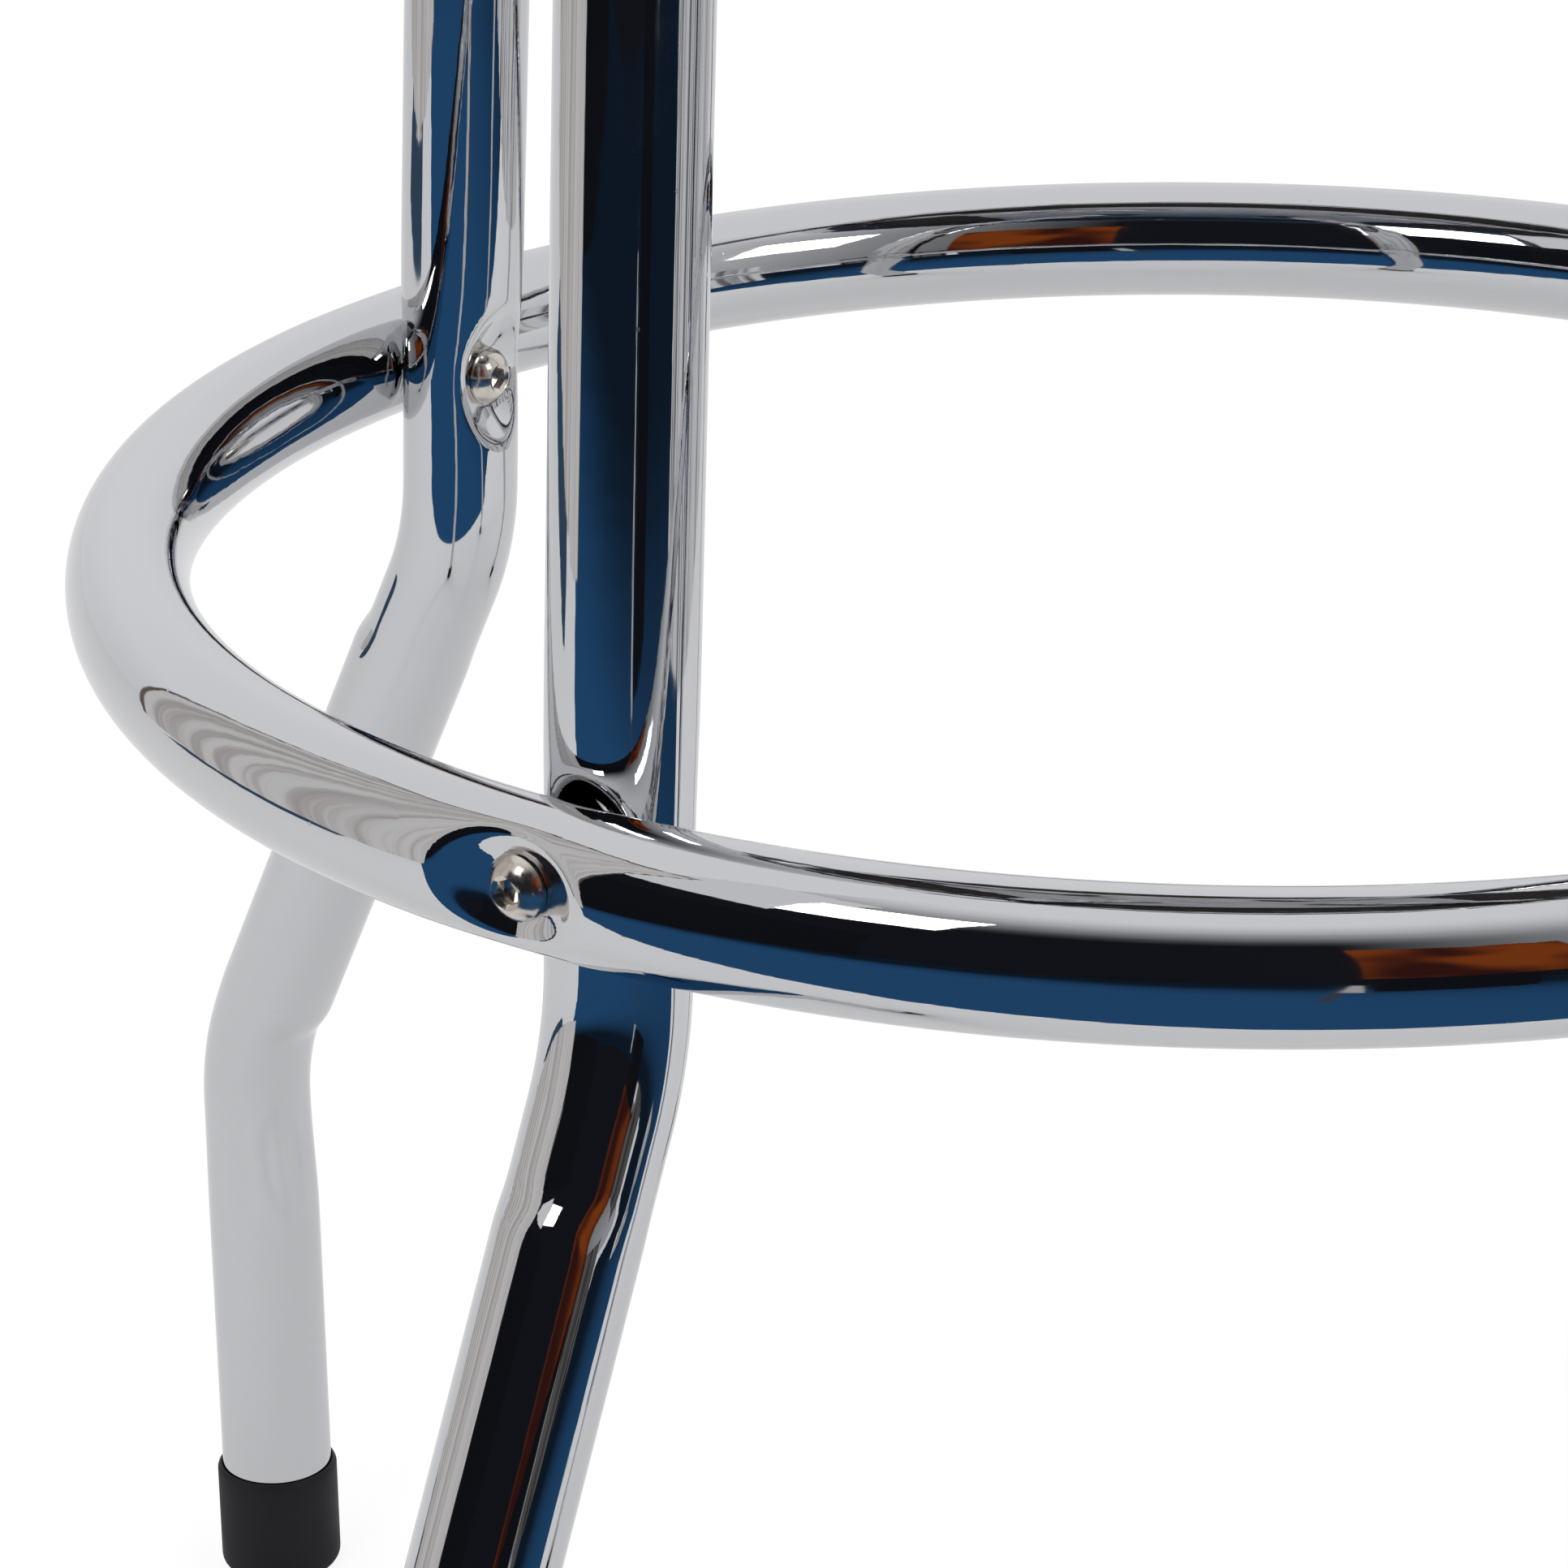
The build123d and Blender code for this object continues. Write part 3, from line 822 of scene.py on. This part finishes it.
tipMesh = buildTip()
for side, degrees in legTurns.items():
    bm = tipMesh.copy()
    bmesh.ops.transform(bm, matrix=turned(degrees), verts=bm.verts)
    name, node = sideName(side) + "RubberTip", side + "_foot_tip"
    finishPiece(name, bm, blackRubber, "stand", [node], crease=tip["crease"])
tipMesh.free()
print("tips moulded")

# seat pad: foam under vinyl, blown up with cloth from a smaller shape
pad = {
    "under": boardHigh[2],
    "crown": coverHigh[2] - 0.0020,
    "shoulder": 0.1700,
    "crownDrop": 0.0120,
    "waist": 0.1750,
    "waistHeight": weltHigh[2] + 0.0003,
    "belly": 0.0042,
    "steps": 128,
    "voxel": 0.0042,
    "heldAbove": 0.0015,
    "pressure": 4.0,
    "bending": 12.0,
    "quality": 6,
    "frames": 20,
    "cap": 0.0024,
    "smoothing": 14,
    "smoothShare": 0.5,
}
seam = {"reach": 0.1640, "deep": 0.0014, "wide": 0.0024, "facingUp": 0.2, "pucker": 0.18, "puckers": 104}
gather = {
    "deep": 0.00045,
    "waves": 5,
    "counts": (26, 90),
    "sizes": (0.4, 1),
    "calm": 3,
    "below": 0.006,  # under the crown
    "fade": 0.016,
    "seed": 7,
}


def padStart():
    top = pad["crown"] - pad["crownDrop"]
    points = [(0, pad["crown"])]
    for share in (0.25, 0.5, 0.75, 1.0):
        points.append((pad["shoulder"] * share, pad["crown"] - pad["crownDrop"] * share**2))
    for share in (0.25, 0.5, 0.75):
        out = pad["shoulder"] + (pad["waist"] - pad["shoulder"]) * sin(share * pi / 2)
        points.append((out + pad["belly"] * sin(share * pi), top + (pad["waistHeight"] - top) * share))
    points += [(pad["waist"], pad["waistHeight"]), (pad["waist"], pad["under"]), (0, pad["under"])]
    bm = bmesh.new()
    spinLine(bm, points, pad["steps"])
    return bm


def settled(piece):  # the piece's mesh with its modifiers worked in, and the piece itself gone
    depth = bpy.context.evaluated_depsgraph_get()
    mesh = bpy.data.meshes.new_from_object(piece.evaluated_get(depth))
    bpy.data.objects.remove(piece)
    return mesh


def blowUp(mesh):
    soft = linkObject("padTrial", mesh)
    held = soft.vertex_groups.new(name="held")
    heldHeight = pad["waistHeight"] + pad["heldAbove"]
    held.add([v.index for v in mesh.vertices if v.co.z < heldHeight], 1.0, "REPLACE")
    cloth = soft.modifiers.new("cloth", "CLOTH")
    cloth.settings.vertex_group_mass = "held"
    cloth.settings.use_pressure = True
    cloth.settings.uniform_pressure_force = pad["pressure"]
    cloth.settings.bending_stiffness = pad["bending"]
    cloth.settings.effector_weights.gravity = 0
    cloth.settings.quality = pad["quality"]
    cloth.point_cache.frame_start, cloth.point_cache.frame_end = 1, pad["frames"]
    for f in range(1, pad["frames"] + 1):
        scene.frame_set(f)
    blown = settled(soft)
    for v, old in zip(blown.vertices, mesh.vertices):
        move = v.co - old.co
        if move.length > pad["cap"]:
            v.co = old.co + move.normalized() * pad["cap"]
    scene.frame_set(1)
    return blown


def sewSeam(bm):  # the stitched seam pulls the top in, and the boxing gathers a little above the welt
    bm.normal_update()
    chance = random.Random(gather["seed"])
    waves = []
    for _ in range(gather["waves"]):
        count, phase = chance.randint(*gather["counts"]), chance.uniform(0, 2 * pi)
        waves.append((count, phase, chance.uniform(*gather["sizes"])))
    moves = []
    for v in bm.verts:
        reach, turn = hypot(v.co.x, v.co.y), atan2(v.co.y, v.co.x)
        if v.co.z < pad["waistHeight"]:
            moves.append(0.0)
            continue
        pull = 0.0
        if v.normal.z > seam["facingUp"]:
            pull = seam["deep"] * exp(-(((reach - seam["reach"]) / seam["wide"]) ** 2))
        pull *= 1 + seam["pucker"] * sin(turn * seam["puckers"])
        ripple = sum(size * sin(turn * count + phase) for count, phase, size in waves) / gather["calm"]
        drop = easedStep((pad["crown"] - gather["below"] - v.co.z) / gather["fade"])
        drop *= 1 - max(v.normal.z, 0)
        moves.append(-pull + gather["deep"] * ripple * drop)
    for v, move in zip(bm.verts, moves):
        v.co += v.normal * move


def buildPad():
    start = linkMesh("padStart", padStart())
    start.modifiers.new("even", "REMESH").voxel_size = pad["voxel"]
    mesh = settled(start)
    mesh = blowUp(mesh)
    finer = linkObject("padFiner", mesh)
    split = finer.modifiers.new("split", "SUBSURF")
    split.levels = split.render_levels = 1
    bm = bmesh.new()
    bm.from_mesh(settled(finer))
    everyAxis = {"use_axis_x": True, "use_axis_y": True, "use_axis_z": True}
    for _ in range(pad["smoothing"]):
        bmesh.ops.smooth_vert(bm, verts=bm.verts, factor=pad["smoothShare"], **everyAxis)
    sewSeam(bm)
    return bm


stitch = {"count": 208, "half": 0.00185, "thick": 0.00042, "inside": 0.0042, "lift": 0.25, "sides": (6, 4)}


def buildStitches(skin):
    bm = bmesh.new()
    segments, rings = stitch["sides"]
    bmesh.ops.create_uvsphere(bm, u_segments=segments, v_segments=rings, radius=1)
    reach = seam["reach"] - stitch["inside"]
    shape = Matrix.Diagonal((stitch["half"], stitch["thick"], stitch["thick"], 1))
    places = []
    for i in range(stitch["count"]):
        turn = 2 * pi * i / stitch["count"]
        above = Vector((reach * cos(turn), reach * sin(turn), 1))
        hit, normal, _, _ = skin.ray_cast(above, Vector((0, 0, -1)))
        across = normal.cross(Vector((-sin(turn), cos(turn), 0))).normalized()
        along = across.cross(normal)
        place = Matrix((along, across, normal)).transposed().to_4x4()
        place.translation = hit + normal * stitch["thick"] * stitch["lift"]
        places.append(place @ shape)
    addCopies(bm, places)
    return bm


padMesh = buildPad()
padSkin = BVHTree.FromBMesh(padMesh)
padNodes = ["seat_cover", "seat_foam"]
padPiece = finishPiece("seatPadCover", padMesh, blackVinyl, "seat", padNodes)
finishPiece("seatSeamStitches", buildStitches(padSkin), seamThread, "seat", ["seat_cover"])
print("seat pad blown up and sewn")

# hem of the cover, pulled under the board and stapled
hem = {
    "outer": 0.1751,
    "skin": 0.0012,
    "inner": 0.1400,
    "tuck": 0.002,
    "round": 0.0024,
    "roundSteps": 5,
    "flatSteps": 8,
    "edge": 0.0003,
    "thinner": 0.0001,
    "boardGap": 0.0002,
    "steps": 360,
    "staples": 24,
    "bulge": 0.00055,
    "bulgeShape": 1.5,
    "bulgeSizes": (0.35, 1),
    "bulgeFrom": 0.166,
    "bulgeFade": 0.016,
    "edgeBulge": 0.5,
    "near": 0.0002,
    "seed": 11,
    "crease": 60,
}


def buildHem():
    low, flat = coverLow[2], hem["outer"] - hem["round"]
    edge, top = hem["edge"], low + hem["skin"] - hem["thinner"]
    points = [(hem["outer"], pad["waistHeight"] - hem["tuck"]), (hem["outer"], low + hem["round"])]
    for i in range(1, hem["roundSteps"] + 1):
        angle = pi / 2 * i / hem["roundSteps"]
        inward, up = hem["round"] * (1 - cos(angle)), hem["round"] * (1 - sin(angle))
        points.append((hem["outer"] - inward, low + up))
    for i in range(1, hem["flatSteps"]):
        points.append((flat + (hem["inner"] - flat) * i / hem["flatSteps"], low))
    points += [(hem["inner"] + edge, low), (hem["inner"], low + edge), (hem["inner"], top)]
    points += [(boardHigh[0] - hem["boardGap"], top)]
    bm = bmesh.new()
    spinLine(bm, points, hem["steps"])
    chance = random.Random(hem["seed"])
    sizes = [chance.uniform(*hem["bulgeSizes"]) for _ in range(hem["staples"])]
    for v in bm.verts:
        reach, turn = hypot(v.co.x, v.co.y), atan2(v.co.y, v.co.x) % (2 * pi)
        share = turn / (2 * pi) * hem["staples"]
        fold = abs(sin(share * pi)) ** hem["bulgeShape"] * sizes[int(share) % hem["staples"]]
        inside = easedStep((hem["bulgeFrom"] - reach) / hem["bulgeFade"])
        if v.co.z < low + hem["near"]:
            v.co.z -= hem["bulge"] * fold * inside
        elif reach < hem["inner"] + 2 * hem["near"]:
            v.co.z -= hem["bulge"] * fold * inside * hem["edgeBulge"]
    return bm


finishPiece(
    "seatCoverHem", buildHem(), blackVinyl, "seat", ["seat_cover"], crease=hem["crease"]
)

# welt: vinyl piping over a cord
welt = {
    "cord": (weltHigh[2] - weltLow[2]) / 2,
    "around": 20,
    "steps": 420,
    "wobble": 0.00012,
    "ripples": ((1.0, 61, 1.3), (0.7, 97, 0.4), (0.5, 23, 0.0)),  # size, count and phase
    "sink": 0.6,
}


def buildWelt():
    middle = weltHigh[0] - welt["cord"]
    bm = bmesh.new()
    bmesh.ops.create_circle(bm, segments=welt["around"], radius=welt["cord"])
    place = Matrix.Translation((middle, 0, weltLow[2] + welt["cord"])) @ Matrix.Rotation(pi / 2, 4, "X")
    bmesh.ops.transform(bm, matrix=place, verts=bm.verts)
    closeSpin(bm, bm.verts[:] + bm.edges[:], welt["steps"])
    bm.normal_update()
    for v in bm.verts:
        turn = atan2(v.co.y, v.co.x)
        ripple = sum(size * sin(turn * count + phase) for size, count, phase in welt["ripples"])
        v.co += v.normal * (welt["wobble"] * (ripple / 2 - welt["sink"]))
    return bm


finishPiece("seatWeltCord", buildWelt(), blackVinyl, "seat", ["seat_welt"])
print("hem and welt sewn")

# rolled chrome band with three beads
band = {
    "wall": 0.0010,
    "inner": 0.1755,
    "beads": 3,
    "beadSteps": 8,
    "rise": 0.0024,
    "margin": 0.0030,
    "lipEnd": 0.1640,
    "corner": 0.0012,
    "cornerSteps": 5,
    "outerDrop": 0.0008,
    "innerDrop": 0.0006,
    "topEase": 0.0002,
    "topMiddle": 0.0005,
    "steps": 288,
    "crease": 40,
}


def beadLine(edge):  # outline of the beads, low to high, on a wall at a radius
    low, high = bandLow[2] + band["margin"], bandHigh[2] - band["margin"]
    pitch = (high - low) / band["beads"]
    arc = (band["rise"] ** 2 + (pitch / 2) ** 2) / (2 * band["rise"])
    half = asin(pitch / 2 / arc)
    points = []
    for i in range(band["beads"]):
        middle = low + pitch * (i + 0.5)
        for k in range(-band["beadSteps"], band["beadSteps"] + 1):
            swing = half * k / band["beadSteps"]
            points.append((edge + band["rise"] - arc * (1 - cos(swing)), middle + arc * sin(swing)))
    return points


def buildBand():
    outer, inner, lip = band["inner"] + band["wall"], band["inner"], band["lipEnd"]
    low, high, corner, ease = bandLow[2], bandHigh[2], band["corner"], band["topEase"]
    points = [(lip, low + band["wall"]), (lip, low)]
    for i in range(band["cornerSteps"] + 1):
        angle = pi / 2 * i / band["cornerSteps"]
        points.append((outer - corner * (1 - sin(angle)), low + corner * (1 - cos(angle))))
    points += beadLine(outer)
    points += [(outer, high - band["outerDrop"]), (outer - ease, high - ease)]
    points += [(outer - band["topMiddle"], high), (inner + ease, high - ease)]
    points += [(inner, high - band["innerDrop"]), (inner, low + band["wall"])]
    points += [(lip, low + band["wall"])]
    bm = bmesh.new()
    spinLine(bm, points, band["steps"])
    return bm


finishPiece(
    "seatBeadedBand", buildBand(), chromeBand, "seat", ["seat_band"], crease=band["crease"]
)
print("band rolled")

# camera at the photograph's place: a long lens that looks down past the front left leg
viewpoint = {
    "place": (-0.22421, -0.91105),
    "aboveRing": 0.321658,
    "turn": (68.2941, 0.4750, -9.0067),
    "lens": 119.685,
    "sensor": 36,
}
lensData = bpy.data.cameras.new("viewCamera")
lensData.sensor_width = viewpoint["sensor"]
lensData.lens = viewpoint["lens"]
camera = linkObject("viewCamera", lensData)
camera.location = (*viewpoint["place"], ringHeight + viewpoint["aboveRing"])
camera.rotation_euler = [radians(a) for a in viewpoint["turn"]]
scene.camera = camera

# studio: white paper under and behind the stool, and a painted reflection of a dark room in front of it
studio = {
    "backdrop": (1, 1, 1, 1),
    "wall": (0.90, 0.905, 0.92, 1),
    "wallLow": (0.79, 0.80, 0.825, 1),
    "wallRise": (0.0, 0.4),
    "room": (0.009, 0.010, 0.014, 1),
    "roomLeft": -99,
    "roomEdge": 0.02,
    "roomRight": (95, 180),
    "roomTop": (42, 76),
    "ambient": (0.90, 0.90, 0.91, 1),
    "paper": (0.85, 0.85, 0.85, 1),
    "paperHalf": 14,
    "glowShare": 0.80,
    "glowStrength": 1.07,
}


def buildWorld():
    world = bpy.data.worlds.new("studio")
    scene.world = world
    world.use_nodes = True
    tree = world.node_tree
    split = addNode(tree, "SeparateXYZ")
    joinTo(tree, addNode(tree, "TexCoord").outputs["Generated"], split.inputs[0])
    x, y, z = split.outputs
    height = mathOf(tree, "ARCSINE", z)
    around = mathOf(tree, "ARCTAN2", x, y)
    left, edge = radians(studio["roomLeft"]), studio["roomEdge"]
    right = [radians(a) for a in studio["roomRight"]]
    darkLeft = rampOf(tree, around, left - edge, left + edge, 1, 0)
    dark = mathOf(tree, "ADD", darkLeft, rampOf(tree, around, *right, kind="LINEAR"))
    low = rampOf(tree, height, *[radians(a) for a in studio["roomTop"]], 1, 0)
    dark = mathOf(tree, "MULTIPLY", dark, low)
    wall = mixOf(tree, rampOf(tree, height, *studio["wallRise"]), studio["wallLow"], studio["wall"])
    # glossy and transmission rays see a painted reflection of a pale wall and a dark room; other rays see
    # only the even ambient light
    paintedRoomReflection = mixOf(tree, dark, wall, studio["room"])
    path = addNode(tree, "LightPath")
    glossy = mathOf(tree, "MAXIMUM", path.outputs["Is Glossy Ray"], path.outputs["Is Transmission Ray"])
    color = mixOf(tree, glossy, studio["ambient"], paintedRoomReflection)
    color = mixOf(tree, path.outputs["Is Camera Ray"], color, studio["backdrop"])
    joinTo(tree, color, tree.nodes["Background"].inputs["Color"])


def buildPaper():
    bm = bmesh.new()
    bmesh.ops.create_grid(bm, x_segments=1, y_segments=1, size=studio["paperHalf"])
    matte = {"Base_Color": studio["paper"], "Roughness": 1.0, "Specular_IOR_Level": 0.0}
    material, tree, shader = startMaterial("paperWhite", **matte)
    glow = addNode(tree, "Emission", Strength=studio["glowStrength"])
    blend = addNode(tree, "MixShader")
    path = addNode(tree, "LightPath")
    share = mathOf(tree, "MULTIPLY", path.outputs["Is Camera Ray"], studio["glowShare"])
    joinTo(tree, share, blend.inputs[0])
    joinTo(tree, shader.outputs[0], blend.inputs[1])
    joinTo(tree, glow.outputs[0], blend.inputs[2])
    oneSided = addNode(tree, "MixShader")  # the stool can be looked at from below
    joinTo(tree, addNode(tree, "NewGeometry").outputs["Backfacing"], oneSided.inputs[0])
    joinTo(tree, blend.outputs[0], oneSided.inputs[1])
    joinTo(tree, addNode(tree, "BsdfTransparent").outputs[0], oneSided.inputs[2])
    joinTo(tree, oneSided.outputs[0], tree.nodes["Material Output"].inputs["Surface"])
    linkMesh("paperFloor", bm, material)


# glowing cards that paint reflections only the metal shows: a blue floor with two lines on it, dark walls, a
# warm curtain and grey stripes in front, folded sheets at both sides, and a glow high at the left
paintedReflectionCards = {
    "blueFloor": {
        "x": (-7.5, 5.5), "y": (-3.0, -0.30), "z": (0.0015, 0.0015),
        "color": (0.020, 0.081, 0.195, 1), "paintedShadeColor": (0.0065, 0.014, 0.027, 1),
        "pool": (-0.60, -0.30), "poolShape": (0.84, 1.0), "poolFade": (0.60, 1.60),
    },
    "floorSeam": {
        "x": (-0.066, -0.050), "y": (-1.24, -0.75), "z": (0.0025, 0.0025),
        "color": (0.055, 0.058, 0.065, 1),
    },
    "farWall": {
        "x": (-7.5, 1.0), "y": (-3.0, -3.0), "z": (0.0, 2.0),
        "color": (0.009, 0.010, 0.014, 1),
    },
    "lowWall": {
        "x": (0.0, 0.30), "y": (-1.25, -1.25), "z": (0.0, 0.31),
        "color": (0.007, 0.008, 0.011, 1),
    },
    "leftWall": {
        "x": (-2.3, -2.3), "y": (-2.4, -0.52), "z": (0.0, 1.6),
        "color": (0.007, 0.008, 0.011, 1),
    },
    "leftGlow": {
        "x": (-1.98, -1.98), "y": (-1.3, -0.3), "z": (1.85, 4.0),
        "color": (0.78, 0.785, 0.80, 1),
    },
    "floorLine": {
        "x": (-0.058, -0.018), "y": (-2.3, -1.22), "z": (0.0025, 0.0025),
        "color": (0.46, 0.46, 0.45, 1),
    },
    "warmCurtain": {
        "x": (-0.02, 0.95), "y": (-2.6, -2.6), "z": (0.32, 2.15),
        "color": (0.240, 0.050, 0.009, 1), "paintedShadeColor": (0.040, 0.010, 0.008, 1),
        "folds": (2.4, 1.0, 1.1), "foldShadeRamp": (0.40, 0.72), "detail": 0.5,
    },
    "farStripes": {
        "x": (0.95, 1.75), "y": (-2.6, -2.6), "z": (0.0, 0.5),
        "color": (0.130, 0.128, 0.122, 1), "paintedShadeColor": (0.012, 0.012, 0.015, 1),
        "folds": (13.0, 1.0, 0.4), "foldShadeRamp": (0.40, 0.62), "detail": 3,
    },
    "leftSheet": {
        "x": (-1.55, -1.55), "y": (-0.40, 1.23), "z": (0.0, 2.18),
        "color": (0.72, 0.70, 0.685, 1), "paintedShadeColor": (0.46, 0.43, 0.41, 1),
        "folds": (1.0, 12.5, 0.22), "foldShadeRamp": (0.38, 0.68), "detail": 3,
    },
    "sheetEdge": {
        "x": (-1.57, -1.57), "y": (-0.42, 1.29), "z": (0.0, 2.27),
        "color": (0.13, 0.105, 0.095, 1),
    },
    "blueStrip": {
        "x": (-1.55, -1.30), "y": (0.12, 0.90), "z": (0.0015, 0.0015),
        "color": (0.040, 0.075, 0.125, 1),
    },
    "rightSheet": {
        "x": (0.78, 0.78), "y": (-0.72, 0.50), "z": (0.0, 0.50),
        "color": (0.70, 0.70, 0.71, 1), "paintedShadeColor": (0.07, 0.07, 0.075, 1),
        "folds": (1.0, 22.0, 0.35), "foldShadeRamp": (0.44, 0.66), "detail": 3,
    },
}
foldRoughness = 0.6


def paintMirrored(tree, shader, card):
    strong = card["color"]
    if "paintedShadeColor" not in card:
        shader.inputs["Emission Color"].default_value = strong
        return
    place = objectPlace(tree)
    if "pool" in card:  # a painted pool of light that fades to the painted shade of the floor
        mapping = addNode(tree, "Mapping", vector_type="TEXTURE")
        mapping.inputs["Location"].default_value = (*card["pool"], 0)
        mapping.inputs["Scale"].default_value = [1 / s for s in card["poolShape"]] + [1]
        joinTo(tree, place, mapping.inputs["Vector"])
        far = addNode(tree, "VectorMath", operation="LENGTH")
        joinTo(tree, mapping.outputs["Vector"], far.inputs[0])
        share = rampOf(tree, far.outputs["Value"], *card["poolFade"])
    else:  # upright folds, with painted shade in their creases
        folds = noiseOf(tree, place, 1.0, card["detail"], foldRoughness, stretch=card["folds"])
        share = rampOf(tree, folds, *card["foldShadeRamp"])
    joinTo(tree, mixOf(tree, share, strong, card["paintedShadeColor"]), shader.inputs["Emission Color"])


def buildMirrored(name, card):
    bm = bmesh.new()
    bmesh.ops.create_grid(bm, x_segments=1, y_segments=1, size=0.5)  # one metre square, then scaled
    middle = Vector([sum(card[axis]) / 2 for axis in "xyz"])
    wide, deep, tall = [card[axis][1] - card[axis][0] for axis in "xyz"]
    if tall:
        bmesh.ops.rotate(bm, matrix=Matrix.Rotation(pi / 2, 3, "X" if wide else "Y"), verts=bm.verts)
    bmesh.ops.scale(bm, vec=(wide, deep, tall), verts=bm.verts)
    bmesh.ops.translate(bm, vec=middle, verts=bm.verts)
    glowing = {"Base_Color": (0, 0, 0, 1), "Specular_IOR_Level": 0.0, "Emission_Strength": 1.0}
    material, tree, shader = startMaterial(name + "Paint", **glowing)
    paintMirrored(tree, shader, card)
    piece = linkMesh(name, bm, material)
    # each card glows only as a painted reflection: camera, diffuse and shadow rays pass it by
    piece.visible_camera = piece.visible_diffuse = piece.visible_shadow = False


softboxes = {
    "leftBox": {"place": (-0.93, -0.86, 1.47), "size": (0.40, 0.46), "power": 3.8},
    "rightBox": {"place": (0.99, -0.95, 1.35), "size": (0.40, 0.50), "power": 4.2},
}
softboxAim = Vector((0, 0, 0.4))


def buildSoftbox(name, box):
    lamp = bpy.data.lights.new(name, "AREA")
    lamp.shape = "RECTANGLE"
    lamp.size, lamp.size_y = box["size"]
    lamp.energy = box["power"]
    piece = linkObject(name, lamp)
    piece.location = box["place"]
    piece.rotation_euler = (softboxAim - piece.location).to_track_quat("-Z", "Y").to_euler()
    piece.visible_camera = False


buildWorld()
buildPaper()
for name, card in paintedReflectionCards.items():
    buildMirrored(name, card)
for name, box in softboxes.items():
    buildSoftbox(name, box)
scene.view_settings.view_transform = "Standard"
print("studio lit")
